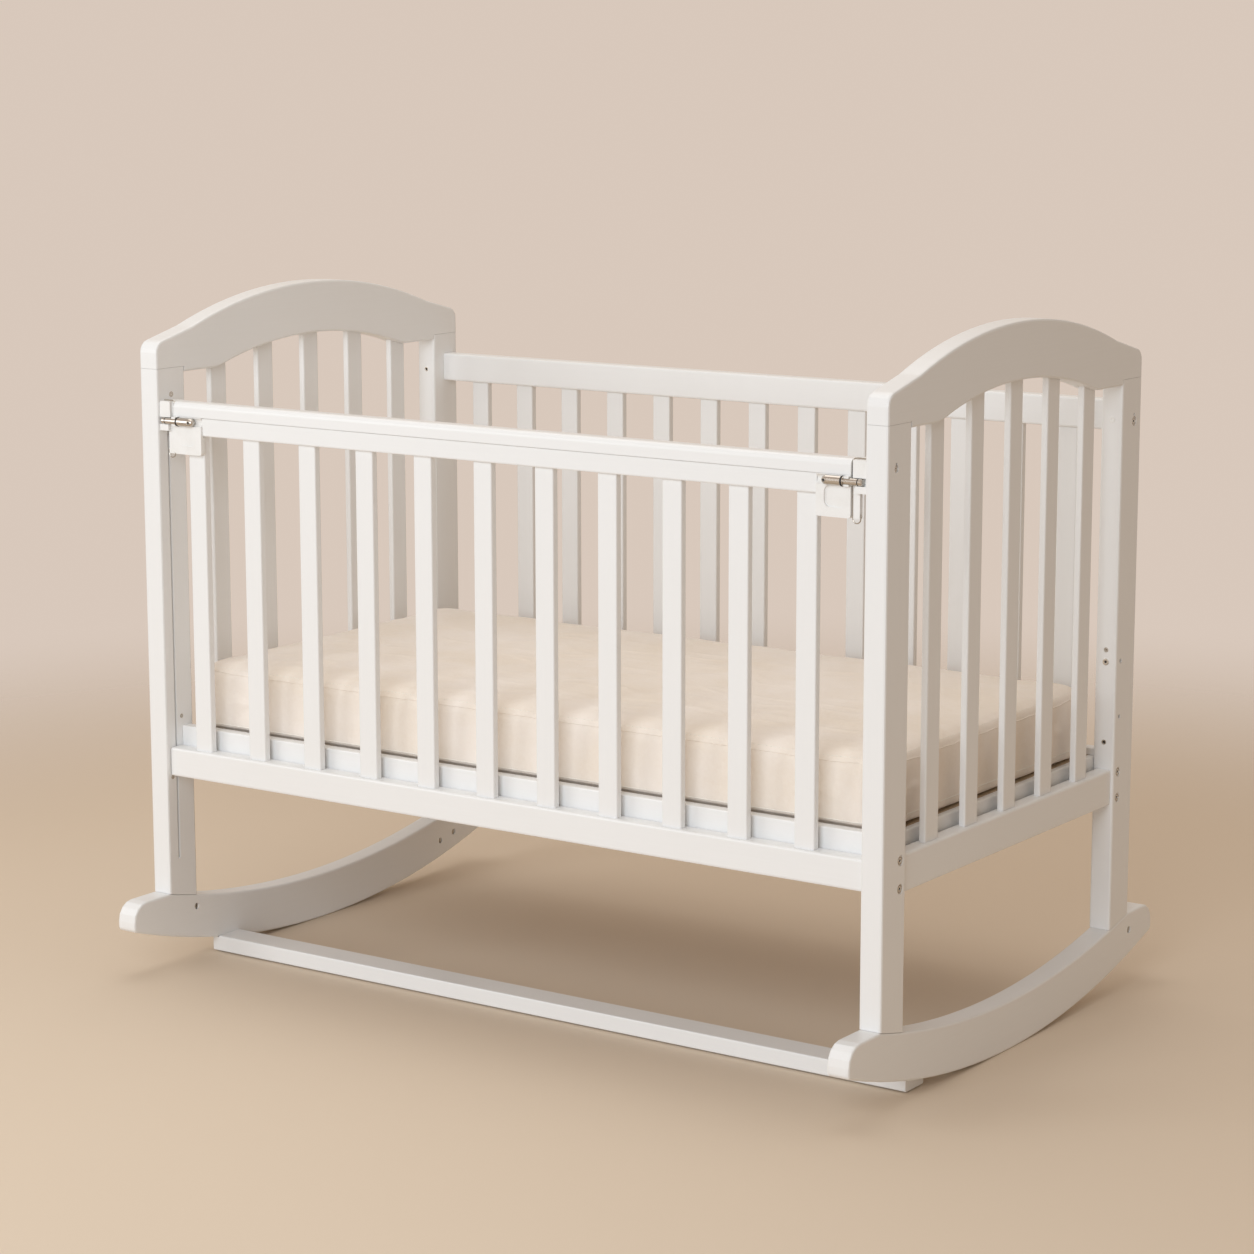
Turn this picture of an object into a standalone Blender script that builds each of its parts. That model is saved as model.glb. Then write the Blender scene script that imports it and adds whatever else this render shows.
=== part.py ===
"""Rocking crib with a drop side, for a mattress of 1200 by 600 mm.

Two arched end frames stand on curved rockers. A fixed slatted back joins them, the slatted front
side slides down in grooves of the front posts, and two spring bolts hold it up. The bed base is
bolted between the posts, and a removable bar under the rockers stops the rocking.

X runs along the bed, the drop side faces -Y, Z is up and the floor is z = 0. Lengths are metres.
"""
import math

import bmesh
import bpy
from mathutils import Matrix, Vector

# Overall sizes
CRIB_LENGTH = 1.270
CRIB_DEPTH = 0.720
JOINT_GAP = 0.0003
CUT_OVERRUN = 0.004
MERGE_DISTANCE = 0.00001

# Posts
POST_WIDTH = 0.033
POST_DEPTH = 0.060
POST_EDGE_ROUND = 0.003

# Rockers
ROCKER_TIP_LENGTH = 0.080
ROCKER_TIP_HEIGHT = 0.0417
ROCKER_THICKNESS = 0.033
ROCKER_BELLY_DEPTH = 0.071
ROCKER_TOP_RADIUS = 1.500
ROCKER_TIP_TOP_ROUND = 0.028
ROCKER_TIP_SOLE_ROUND = 0.016
ROCKER_EDGE_ROUND = 0.003
CROSS_NUT_DIAMETER = 0.010
CROSS_NUT_HOLE_DEPTH = 0.016
CROSS_NUT_INSET = 0.002
CROSS_NUT_SPACING = 0.036
CROSS_NUT_BELOW_FRONT_SEAT = 0.018
CROSS_NUT_BELOW_BACK_SEAT = 0.040
LOCK_SCREW_DIAMETER = 0.011
LOCK_SCREW_DEPTH = 0.010
LOCK_SCREW_BEYOND_POST = 0.005
LOCK_SCREW_BELOW_SEAT = 0.027

# Arched top rails of the ends
ARCH_CROWN = 1.015
ARCH_RISE = 0.107
ARCH_BAND = 0.080
ARCH_SHOULDER_LENGTH = 0.080
ARCH_SHOULDER_FALL = 0.0493
ARCH_SHOULDER_DROP = 0.020
ARCH_EAR_ROUND = 0.018
ARCH_LIP = 0.008
ARCH_COVE_RADIUS = 0.040
ARCH_EDGE_ROUND = 0.003

# Lower rails and slats of the ends
END_RAIL_BOTTOM = 0.289
END_RAIL_HEIGHT = 0.052
END_RAIL_THICKNESS = 0.024
END_SLAT_COUNT = 5
END_SLAT_WIDTH = 0.035
END_SLAT_THICKNESS = 0.010
END_SLAT_FRONT_SPACE = 0.088
END_SLAT_BACK_SPACE = 0.081
END_TENON = 0.014

# Slats and rails of the two long sides
SIDE_SETBACK = 0.022
SLAT_WIDTH = 0.031
SLAT_THICKNESS = 0.012
SLAT_EDGE_ROUND = 0.002
LOWER_RAIL_BOTTOM = 0.297
LOWER_RAIL_HEIGHT = 0.043
LOWER_RAIL_DEPTH = 0.027
LOWER_TENON = 0.012
RAIL_EDGE_ROUND = 0.003
RAIL_END_CLEARANCE = 0.0013

# Back
BACK_SLAT_COUNT = 13
BACK_SLAT_END_SPACE = 0.0692
BACK_RAIL_BELOW_POST_TOP = 0.076
BACK_RAIL_HEIGHT = 0.044
BACK_RAIL_DEPTH = 0.025
BACK_TENON = 0.012

# Drop side
SIDE_SLAT_COUNT = 11
SIDE_SLAT_LEFT_SPACE = 0.060
SIDE_SLAT_RIGHT_SPACE = 0.096
DROP_TRAVEL = 0.150
CAP_BELOW_POST_TOP = 0.046
CAP_HEIGHT = 0.021
CAP_DEPTH = 0.030
CAP_TOP_ROUND = 0.008
TOP_RAIL_HEIGHT = 0.027
TOP_RAIL_DEPTH = 0.024
TOP_RAIL_END_DEPTH = 0.018
TOP_TENON = 0.009

# Guide pins of the drop side and their grooves
PIN_DIAMETER = 0.003
PIN_SEAT = 0.010
PIN_REACH = 0.005
GROOVE_DEPTH = 0.006
PIN_CLEARANCE = 0.0005

# Latch housings
HOUSING_LENGTH = 0.052
HOUSING_HEIGHT = 0.0555
HOUSING_CORNER_ROUND = 0.004
HOUSING_END_WALL = 0.004
HOUSING_PLATE = 0.0085
HOUSING_STEP = 0.001
SCOOP_LENGTH = 0.031
SCOOP_DEPTH = 0.0028
SCOOP_MARGIN = 0.0125
SCOOP_ROUND = 0.008
LUG_LENGTH = 0.0075
LUG_HEIGHT = 0.013
LUG_PROUD = 0.0057

# Latch bolts
BOLT_STROKE = 0.012
BOLT_DROP = 0.0075
BOLT_PROUD = 0.0025
BARREL_DIAMETER = 0.013
BARREL_LENGTH = 0.033
BARREL_TO_LUG = 0.0005
BOLT_RING_WIDTH = 0.002
BOLT_RING_DEPTH = 0.001
ROD_DIAMETER = 0.0095
ROD_CLEARANCE = 0.0003
TIP_GAP = 0.0055
TIP_NECK_INSET = 0.006
TIP_NECK_WIDTH = 0.0015
TIP_NECK_DEPTH = 0.0008
TIP_CHAMFER = 0.001

# Keepers on the front posts
KEEPER_WIDTH = 0.0225
KEEPER_RUN_GAP = 0.0025
KEEPER_HEIGHT = 0.0435
KEEPER_PROUD = 0.003
KEEPER_BACK_DEPTH = 0.0115
KEEPER_ROUND = 0.004
KEEPER_BOLT_GAP = 0.0006
TONGUE_WIDTH = 0.0098
TONGUE_DEPTH = 0.0065
TONGUE_HEIGHT = 0.0335
TONGUE_OVERLAP = 0.0015
KEEPER_SCREW_DROP = 0.010
KEEPER_SCREW_DIAMETER = 0.004
KEEPER_SCREW_HEAD = 0.009
KEEPER_SCREW_SINK = 0.0033
KEEPER_SCREW_REACH = 0.012
TEARDROP_DIAMETER = 0.0045
TEARDROP_RISE = 0.0055
SPRING_WIRE = 0.0016
SPRING_HOOK = 0.006
SPRING_REBATE = 0.0024

# Bed base
BASE_TOP = 0.369
BASE_BOARD_HEIGHT = 0.078
BASE_BOARD_THICKNESS = 0.018
BASE_RUN_GAP = 0.001
BASE_SLOT_DEPTH = 0.008
BASE_PANEL_THICKNESS = 0.008
BASE_PANEL_DROP = 0.011
BASE_HOLE_DIAMETER = 0.050
BASE_HOLE_ROW_COUNT = 2
BASE_HOLE_COLUMN_COUNT = 6
BASE_CENTRE_BAR_WIDTH = 0.040

# Holes for the frame bolts, with their heads sunk in the posts
FRAME_BOLT_BORE = 0.0066
FRAME_BOLT_HEAD = 0.013
FRAME_BOLT_SINK = 0.004
FRAME_BOLT_REACH = 0.045
HEAD_CLEARANCE = 0.0006
BOLT_PAIR_SPACING = 0.038
BOLT_PAIR_BOTTOM = 0.2985
BACK_RAIL_BOLT_DROP = 0.030
BACK_RAIL_HOLE_RISE = 0.0095
SPARE_LEVEL_STEP = 0.082
SPARE_HOLE_DIAMETER = 0.007
SPARE_HOLE_DEPTH = 0.018
INSERT_HOLE_DIAMETER = 0.0075
INSERT_HOLE_DEPTH = 0.010
INSERT_PAIR_TOP = 0.517
INSERT_PAIR_SPACING = 0.0175
INSERT_LOW = 0.381
INSERT_BELOW_POST_TOP = 0.057

# Mattress
MATTRESS_END_GAP = 0.007
MATTRESS_SIDE_GAP = 0.004
MATTRESS_THICKNESS = 0.097
MATTRESS_CROWN = 0.007
MATTRESS_CORNER = 0.035
MATTRESS_EDGE = 0.012
MATTRESS_DRAW_IN = 0.004
MATTRESS_TUFT_DEPTH = 0.0012

# Stop bar, whose ends lie under the rockers
STOP_BAR_WIDTH = 0.048
STOP_BAR_HEIGHT = 0.024
STOP_BAR_INSET = 0.022
STOP_BAR_SOLE_HEIGHT = 0.0196
STOP_BAR_ROUND = 0.002
GLIDE_DIAMETER = 0.018
GLIDE_HEIGHT = 0.002
GLIDE_END_DISTANCE = 0.022

# Counts and shares that set how fine the curves are, and unit factors
ARC_STEPS = 12
ROUND_STEPS = 2
FILLET_STEPS = 4
HOLE_STEPS = 16
TURNED_STEPS = 16
WIRE_BEND_STEPS = 8
SOLE_CUT_STEPS = 4
MATTRESS_LONG_STEPS = 10
MATTRESS_SHORT_STEPS = 6
MATTRESS_TOP_SHARES = (0.15, 0.4, 0.7)
MATTRESS_TUFT_COUNT = 3
BOLT_PAIR_COUNT = 2
SPARE_LEVEL_COUNT = 2
EVEN_ROUND_SHARE = 0.5
POINT_WEIGHT_SHARE = 1.0
FLAT_ANGLE = math.radians(0.1)
BEVEL_ANGLE_LIMIT = math.radians(35)
SMOOTH_ANGLE = math.radians(35)
LEFT, RIGHT = -1, 1
FRONT, BACK = -1, 1


def arc_fall(radius, distance):
    """How far an arc of the radius falls away from its crown at a distance from it."""
    return radius - math.sqrt(radius * radius - distance * distance)


def arc_radius(distance, fall):
    """The radius of the arc that falls so far away from its crown at a distance from it."""
    return (distance * distance + fall * fall) / (2 * fall)


def arc_reach(radius, fall):
    """How far from its crown an arc of the radius has fallen so far."""
    return math.sqrt(fall * (2 * radius - fall))


# Planes and places that follow from the sizes
HALF_X = CRIB_LENGTH / 2
HALF_Y = CRIB_DEPTH / 2
INNER_X = HALF_X - POST_WIDTH
INNER_Y = HALF_Y - POST_DEPTH
POST_X = HALF_X - POST_WIDTH / 2
POST_Y = HALF_Y - POST_DEPTH / 2
SIDE_Y = HALF_Y - SIDE_SETBACK
POST_TOP = ARCH_CROWN - ARCH_RISE
ROCKER_HALF = HALF_Y + ROCKER_TIP_LENGTH
ROCKER_TIP_TOP = ROCKER_BELLY_DEPTH + arc_fall(ROCKER_TOP_RADIUS, HALF_Y)
ROCKER_SOLE_RADIUS = arc_radius(ROCKER_HALF, ROCKER_TIP_TOP - ROCKER_TIP_HEIGHT)
ARCH_ARC_HALF = HALF_Y - ARCH_SHOULDER_LENGTH
ARCH_TOP_RADIUS = arc_radius(ARCH_ARC_HALF, ARCH_SHOULDER_FALL)
BACK_RAIL_BOTTOM = POST_TOP - BACK_RAIL_BELOW_POST_TOP
CAP_TOP = POST_TOP - CAP_BELOW_POST_TOP
INSERT_HIGH = POST_TOP - INSERT_BELOW_POST_TOP
CAP_BOTTOM = CAP_TOP - CAP_HEIGHT
TOP_RAIL_TOP = CAP_BOTTOM - JOINT_GAP
TOP_RAIL_BOTTOM = TOP_RAIL_TOP - TOP_RAIL_HEIGHT
LOWER_RAIL_TOP = LOWER_RAIL_BOTTOM + LOWER_RAIL_HEIGHT
LOWER_RAIL_HALF = INNER_X - RAIL_END_CLEARANCE
UPPER_PIN_Z = TOP_RAIL_BOTTOM + TOP_RAIL_HEIGHT / 2
LOWER_PIN_Z = LOWER_RAIL_BOTTOM + LOWER_RAIL_HEIGHT / 2
PIN_END_X = INNER_X + PIN_REACH
KEEPER_INNER_X = INNER_X - JOINT_GAP - KEEPER_WIDTH
HOUSING_END_X = KEEPER_INNER_X - KEEPER_RUN_GAP
HOUSING_START_X = HOUSING_END_X - HOUSING_LENGTH
HOUSING_MIDDLE_X = (HOUSING_END_X + HOUSING_START_X) / 2
HOUSING_BOTTOM = TOP_RAIL_TOP - HOUSING_HEIGHT
TOP_RAIL_HALF = HOUSING_END_X - HOUSING_END_WALL - JOINT_GAP
PANEL_FRONT_Y = SIDE_Y + CAP_DEPTH / 2
PLATE_BACK_Y = PANEL_FRONT_Y - HOUSING_PLATE
BOLT_Y = PANEL_FRONT_Y + BOLT_PROUD
BOLT_Z = TOP_RAIL_TOP - BOLT_DROP
BOLT_TIP_X = INNER_X - TIP_GAP
BOLT_WAY_HALF = ROD_DIAMETER / 2 + KEEPER_BOLT_GAP
BOLT_WAY_BACK_Y = BOLT_Y - BOLT_WAY_HALF
DROP_WAY_END_X = BOLT_TIP_X - BOLT_STROKE + KEEPER_BOLT_GAP
KEEPER_TOP = CAP_TOP
KEEPER_FRONT_Y = PANEL_FRONT_Y + KEEPER_PROUD
KEEPER_SCREW_Z = KEEPER_TOP - KEEPER_SCREW_DROP
TONGUE_Y = BOLT_WAY_BACK_Y - TONGUE_DEPTH / 2
SPRING_Y = BOLT_WAY_BACK_Y - SPRING_WIRE / 2
LUG_END_X = HOUSING_END_X
LUG_START_X = LUG_END_X - LUG_LENGTH
BARREL_END_X = LUG_START_X - BARREL_TO_LUG
BARREL_START_X = BARREL_END_X - BARREL_LENGTH
BASE_BOARD_OUTER_Y = SIDE_Y - LOWER_RAIL_DEPTH / 2 - BASE_RUN_GAP
BASE_BOARD_Y = BASE_BOARD_OUTER_Y - BASE_BOARD_THICKNESS / 2
BASE_BOARD_INNER_Y = BASE_BOARD_OUTER_Y - BASE_BOARD_THICKNESS
BASE_PANEL_TOP = BASE_TOP - BASE_PANEL_DROP
BASE_PANEL_BOTTOM = BASE_PANEL_TOP - BASE_PANEL_THICKNESS
BASE_HALF = INNER_X - JOINT_GAP
MATTRESS_BOTTOM = BASE_PANEL_TOP + JOINT_GAP
MATTRESS_HALF_X = INNER_X - MATTRESS_END_GAP
MATTRESS_HALF_Y = BASE_BOARD_INNER_Y - MATTRESS_SIDE_GAP
STOP_BAR_Y = -arc_reach(ROCKER_SOLE_RADIUS, STOP_BAR_SOLE_HEIGHT)
STOP_BAR_BOTTOM = GLIDE_HEIGHT
STOP_BAR_HALF = HALF_X - STOP_BAR_INSET
GROOVE_WIDTH = PIN_DIAMETER + 2 * PIN_CLEARANCE
GROOVE_BOTTOM = LOWER_PIN_Z - DROP_TRAVEL - GROOVE_WIDTH / 2
GROOVE_TOP = UPPER_PIN_Z + GROOVE_WIDTH / 2

WHITE_PAINT = ("white_paint", (0.86, 0.86, 0.85), 0.35, 0.0)
WHITE_PLASTIC = ("white_plastic", (0.88, 0.88, 0.87), 0.30, 0.0)
NICKEL = ("nickel", (0.62, 0.60, 0.57), 0.25, 1.0)
HARDBOARD = ("base_panel", (0.80, 0.74, 0.64), 0.60, 0.0)
COTTON = ("cotton_cover", (0.84, 0.78, 0.67), 0.90, 0.0)
CLEAR_PAD = ("glide_pad", (0.75, 0.74, 0.72), 0.50, 0.0)

ALONG_Y = Matrix.Rotation(math.pi / 2, 4, "X")
ALONG_X = Matrix.Rotation(math.pi / 2, 4, "Y")
ALONG_Z = Matrix.Identity(4)
UPSIDE_DOWN = Matrix.Rotation(math.pi, 4, "X")
OUTLINE_ACROSS_X = Matrix(((0, 0, 1, 0), (1, 0, 0, 0), (0, 1, 0, 0), (0, 0, 0, 1)))


def clear_scene():
    """Remove everything a new file starts with."""
    for thing in list(bpy.data.objects):
        bpy.data.objects.remove(thing, do_unlink=True)


def new_collection(name):
    """A collection of the scene with the given name."""
    collection = bpy.data.collections.new(name)
    bpy.context.scene.collection.children.link(collection)
    return collection


def material(name, finish):
    """A material of the named finish for one sub-part."""
    label, colour, roughness, metallic = finish
    made = bpy.data.materials.new(f"{name}_{label}")
    made.use_nodes = True
    shader = made.node_tree.nodes["Principled BSDF"]
    shader.inputs["Base Color"].default_value = (*colour, 1.0)
    shader.inputs["Roughness"].default_value = roughness
    shader.inputs["Metallic"].default_value = metallic
    return made


def place(name, mesh, at, group, finish=None, parent=None):
    """Put a mesh in the scene, with its origin at the point `at` of the world."""
    thing = bpy.data.objects.new(name, mesh)
    group.objects.link(thing)
    thing.location = Vector(at)
    if parent is not None:
        thing.parent = parent
        thing.location = Vector(at) - parent.location
    if finish is not None:
        mesh.materials.append(material(name, finish))
        mesh.shade_smooth()
        mesh.set_sharp_from_angle(angle=SMOOTH_ANGLE)
    return thing


def as_cutter(thing):
    """Mark an object as a tool that isn't part of the crib."""
    thing.hide_render = True
    thing.display_type = "WIRE"
    return thing


def box_mesh(size, rounded_along="", radius=0.0, steps=ROUND_STEPS, only=None):
    """A box about its middle, its edges along the named axes rounded, or those that `only` picks."""
    shape = bmesh.new()
    bmesh.ops.create_cube(shape, size=1, matrix=Matrix.Diagonal((*size, 1)))
    chosen = [edge for edge in shape.edges if edge_axis(edge) in rounded_along]
    if only is not None:
        chosen = [edge for edge in chosen if only(edge_middle(edge))]
    if chosen:
        bevel_edges(shape, chosen, radius, steps)
    return finished(shape)


def bevel_edges(shape, edges, radius, steps):
    """Round some edges of a bmesh."""
    bmesh.ops.bevel(
        shape, geom=edges, offset=radius, segments=steps, profile=EVEN_ROUND_SHARE, affect="EDGES"
    )


def edge_middle(edge):
    """The middle of an edge."""
    return (edge.verts[0].co + edge.verts[1].co) / 2


def is_upper(middle):
    """Whether a place on a shape about its middle is in its upper half."""
    return middle.z > 0


def is_lower(middle):
    """Whether a place on a shape about its middle is in its lower half."""
    return middle.z < 0


def edge_axis(edge):
    """The letter of the axis that an edge of a box runs along."""
    run = edge.verts[0].co - edge.verts[1].co
    return "XYZ"[max(range(3), key=lambda axis: abs(run[axis]))]


def rod_mesh(radius, length, turn, sides=HOLE_STEPS):
    """A round bar about its middle, turned from Z by the matrix `turn`."""
    shape = bmesh.new()
    bmesh.ops.create_cone(
        shape, cap_ends=True, segments=sides, radius1=radius, radius2=radius, depth=length, matrix=turn
    )
    return finished(shape)


def finished(shape):
    """Turn a bmesh into a mesh."""
    mesh = bpy.data.meshes.new("shape")
    shape.to_mesh(mesh)
    shape.free()
    return mesh


def joined_mesh(parts):
    """One mesh from (mesh, offset) pairs that don't touch each other."""
    shape = bmesh.new()
    for mesh, offset in parts:
        copy = mesh.copy()
        copy.transform(Matrix.Translation(offset))
        shape.from_mesh(copy)
        bpy.data.meshes.remove(copy)
    return finished(shape)


def outline_mesh(points, thickness):
    """A flat outline in Y and Z, given thickness along X about x = 0."""
    curve = bpy.data.curves.new("outline", "CURVE")
    curve.dimensions = "2D"
    curve.fill_mode = "BOTH"
    curve.extrude = thickness / 2
    spline = curve.splines.new("POLY")
    spline.points.add(len(points) - 1)
    for point, (y, z) in zip(spline.points, points):
        point.co = (y, z, 0, POINT_WEIGHT_SHARE)
    spline.use_cyclic_u = True
    holder = bpy.data.objects.new("outline", curve)
    bpy.context.scene.collection.objects.link(holder)
    graph = bpy.context.evaluated_depsgraph_get()
    mesh = bpy.data.meshes.new_from_object(holder.evaluated_get(graph))
    bpy.data.objects.remove(holder, do_unlink=True)
    shape = bmesh.new()
    shape.from_mesh(mesh)
    bpy.data.meshes.remove(mesh)
    bmesh.ops.remove_doubles(shape, verts=shape.verts, dist=MERGE_DISTANCE)
    bmesh.ops.recalc_face_normals(shape, faces=shape.faces)
    bmesh.ops.dissolve_limit(shape, angle_limit=FLAT_ANGLE, verts=shape.verts, edges=shape.edges)
    shape.transform(OUTLINE_ACROSS_X)
    return finished(shape)


def filleted(corners):
    """An outline whose corners (y, z, radius) are rounded where the radius isn't zero."""
    points = []
    count = len(corners)
    for index, (y, z, radius) in enumerate(corners):
        here = Vector((y, z))
        if radius == 0:
            points.append((y, z))
            continue
        before = (Vector(corners[index - 1][:2]) - here).normalized()
        after = (Vector(corners[(index + 1) % count][:2]) - here).normalized()
        half_angle = before.angle(after) / 2
        centre = here + (before + after).normalized() * (radius / math.sin(half_angle))
        start = here + before * (radius / math.tan(half_angle)) - centre
        finish = here + after * (radius / math.tan(half_angle)) - centre
        sweep = start.angle_signed(finish)
        for step in range(FILLET_STEPS + 1):
            turn = Matrix.Rotation(-sweep * step / FILLET_STEPS, 2)
            points.append(tuple(centre + turn @ start))
    return points


def round_edges(thing, radius, steps=ROUND_STEPS):
    """Round the sharp edges of an object with a Bevel modifier."""
    bevel = thing.modifiers.new("rounding", "BEVEL")
    bevel.width = radius
    bevel.segments = steps
    bevel.limit_method = "ANGLE"
    bevel.angle_limit = BEVEL_ANGLE_LIMIT


def boolean(thing, tool, operation):
    """Add an exact Boolean modifier."""
    step = thing.modifiers.new(tool.name, "BOOLEAN")
    step.operation = operation
    step.solver = "EXACT"
    step.object = tool


def cut(thing, mesh, at, name):
    """Cut a shape placed at a point of the world out of an object."""
    tool = as_cutter(place(f"{thing.name}_{name}_cutter", mesh, at, CUTTERS))
    boolean(thing, tool, "DIFFERENCE")


def add(thing, mesh, at, name):
    """Join a shape placed at a point of the world to an object."""
    tool = as_cutter(place(f"{thing.name}_{name}_tool", mesh, at, CUTTERS))
    boolean(thing, tool, "UNION")


def turned_mesh(profile, turn):
    """A solid turned about Z from (radius, height) points, top to bottom, then turned by a matrix."""
    mesh = bpy.data.meshes.new("profile")
    mesh.from_pydata(
        [(radius, 0, height) for radius, height in profile],
        [(index, index + 1) for index in range(len(profile) - 1)],
        [],
    )
    holder = bpy.data.objects.new("profile", mesh)
    bpy.context.scene.collection.objects.link(holder)
    screw = holder.modifiers.new("turning", "SCREW")
    screw.axis = "Z"
    screw.steps = TURNED_STEPS
    screw.render_steps = TURNED_STEPS
    screw.use_merge_vertices = True
    screw.merge_threshold = MERGE_DISTANCE
    graph = bpy.context.evaluated_depsgraph_get()
    solid = bpy.data.meshes.new_from_object(holder.evaluated_get(graph))
    bpy.data.objects.remove(holder, do_unlink=True)
    bpy.data.meshes.remove(mesh)
    shape = bmesh.new()
    shape.from_mesh(solid)
    bpy.data.meshes.remove(solid)
    bmesh.ops.remove_doubles(shape, verts=shape.verts, dist=MERGE_DISTANCE)
    bmesh.ops.recalc_face_normals(shape, faces=shape.faces)
    shape.transform(turn)
    return finished(shape)


def spread(count, pitch):
    """Places of evenly pitched pieces about a middle at zero."""
    return [(index - (count - 1) / 2) * pitch for index in range(count)]


def evenly_spaced(first, last, count):
    """Places of evenly spaced pieces from the first to the last."""
    return [first + (last - first) * index / (count - 1) for index in range(count)]


def end_slat_row():
    """Places of an end's slats between its posts, from front to back."""
    return evenly_spaced(END_SLAT_FRONT_SPACE - INNER_Y, INNER_Y - END_SLAT_BACK_SPACE, END_SLAT_COUNT)


def rocker_top(y):
    """Height of the rocker's top edge at y, level outside the posts."""
    reach = min(abs(y), HALF_Y)
    return ROCKER_BELLY_DEPTH + arc_fall(ROCKER_TOP_RADIUS, reach)


def arch_underside(y):
    """Height of the arch's curved underside at y."""
    return ARCH_CROWN - ARCH_BAND - arc_fall(ARCH_TOP_RADIUS - ARCH_BAND, y)


def rocker_outline():
    """The rocker seen from its end of the bed."""
    half = ROCKER_HALF
    sole_end = half - ROCKER_TIP_SOLE_ROUND
    corners = []
    for step in range(-ARC_STEPS, ARC_STEPS + 1):
        y = sole_end * step / ARC_STEPS
        corners.append((y, arc_fall(ROCKER_SOLE_RADIUS, y), 0))
    tip_sole = ROCKER_TIP_TOP - ROCKER_TIP_HEIGHT
    corners.append((half, tip_sole, ROCKER_TIP_SOLE_ROUND / 2))
    corners.append((half, ROCKER_TIP_TOP, ROCKER_TIP_TOP_ROUND))
    for step in range(ARC_STEPS, -ARC_STEPS - 1, -1):
        y = HALF_Y * step / ARC_STEPS
        corners.append((y, rocker_top(y), 0))
    corners.append((-half, ROCKER_TIP_TOP, ROCKER_TIP_TOP_ROUND))
    corners.append((-half, tip_sole, ROCKER_TIP_SOLE_ROUND / 2))
    return filleted(corners)


def rocker_seat_mesh():
    """What the posts' feet are cut by: all that lies below the rockers' top edge and its joint."""
    reach = HALF_Y + CUT_OVERRUN
    corners = [(-reach, -CUT_OVERRUN), (reach, -CUT_OVERRUN)]
    corners.append((reach, rocker_top(reach) + JOINT_GAP))
    for step in range(ARC_STEPS, -ARC_STEPS - 1, -1):
        y = HALF_Y * step / ARC_STEPS
        corners.append((y, rocker_top(y) + JOINT_GAP))
    corners.append((-reach, rocker_top(reach) + JOINT_GAP))
    return outline_mesh(corners, CRIB_LENGTH + CUT_OVERRUN)


def make_rocker(side, name):
    """A curved rocker with the seats of the cross nuts that pull the posts down on it."""
    x = side * (HALF_X - ROCKER_THICKNESS / 2)
    rocker = place(name, outline_mesh(rocker_outline(), ROCKER_THICKNESS), (x, 0, 0), CRIB, WHITE_PAINT)
    round_edges(rocker, ROCKER_EDGE_ROUND)
    holes = []
    inner_face = -side * (ROCKER_THICKNESS / 2)
    middle = inner_face + side * (CROSS_NUT_HOLE_DEPTH - CUT_OVERRUN) / 2
    drill = rod_mesh(CROSS_NUT_DIAMETER / 2, CROSS_NUT_HOLE_DEPTH + CUT_OVERRUN, ALONG_X, HOLE_STEPS)
    inner = INNER_Y + CROSS_NUT_INSET
    holes.append((drill, (middle, -inner, rocker_top(inner) - CROSS_NUT_BELOW_FRONT_SEAT)))
    for y in (inner, inner + CROSS_NUT_SPACING):
        holes.append((drill, (middle, y, rocker_top(y) - CROSS_NUT_BELOW_BACK_SEAT)))
    cut(rocker, joined_mesh(holes), (x, 0, 0), "nut_holes")
    lock = rod_mesh(LOCK_SCREW_DIAMETER / 2, 2 * LOCK_SCREW_DEPTH, ALONG_X)
    lock_y = HALF_Y + LOCK_SCREW_BEYOND_POST
    lock_z = rocker_top(lock_y) - LOCK_SCREW_BELOW_SEAT
    cut(rocker, lock, (side * HALF_X, lock_y, lock_z), "lock_screw_hole")


def cut_frame_bolt_hole(post, side, y, z, name):
    """A through hole for a frame bolt, sunk in the post's outer face for its head."""
    sink = rod_mesh(FRAME_BOLT_HEAD / 2 + HEAD_CLEARANCE, 2 * FRAME_BOLT_SINK, ALONG_X)
    cut(post, sink, (side * HALF_X, y, z), f"{name}_sink")
    bore = rod_mesh(FRAME_BOLT_BORE / 2, POST_WIDTH + CUT_OVERRUN, ALONG_X)
    cut(post, bore, (side * POST_X, y, z), f"{name}_bore")


def make_post(side, end, name):
    """A post of an end frame, shaped to its rocker and bored for the frame bolts."""
    foot = ROCKER_BELLY_DEPTH
    height = POST_TOP - foot
    size = (POST_WIDTH, POST_DEPTH, height)
    at = (side * POST_X, end * POST_Y, foot + height / 2)
    post = place(name, box_mesh(size, "Z", POST_EDGE_ROUND), at, CRIB, WHITE_PAINT)
    boolean(post, ROCKER_SEAT, "DIFFERENCE")
    board_y = end * BASE_BOARD_Y
    for index in range(BOLT_PAIR_COUNT):
        z = BOLT_PAIR_BOTTOM + index * BOLT_PAIR_SPACING
        cut_frame_bolt_hole(post, side, board_y, z, f"base_bolt_{index + 1}")
    if end == FRONT:
        cut_front_post(post, side)
    else:
        cut_back_post(post, side)
    return post


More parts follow.
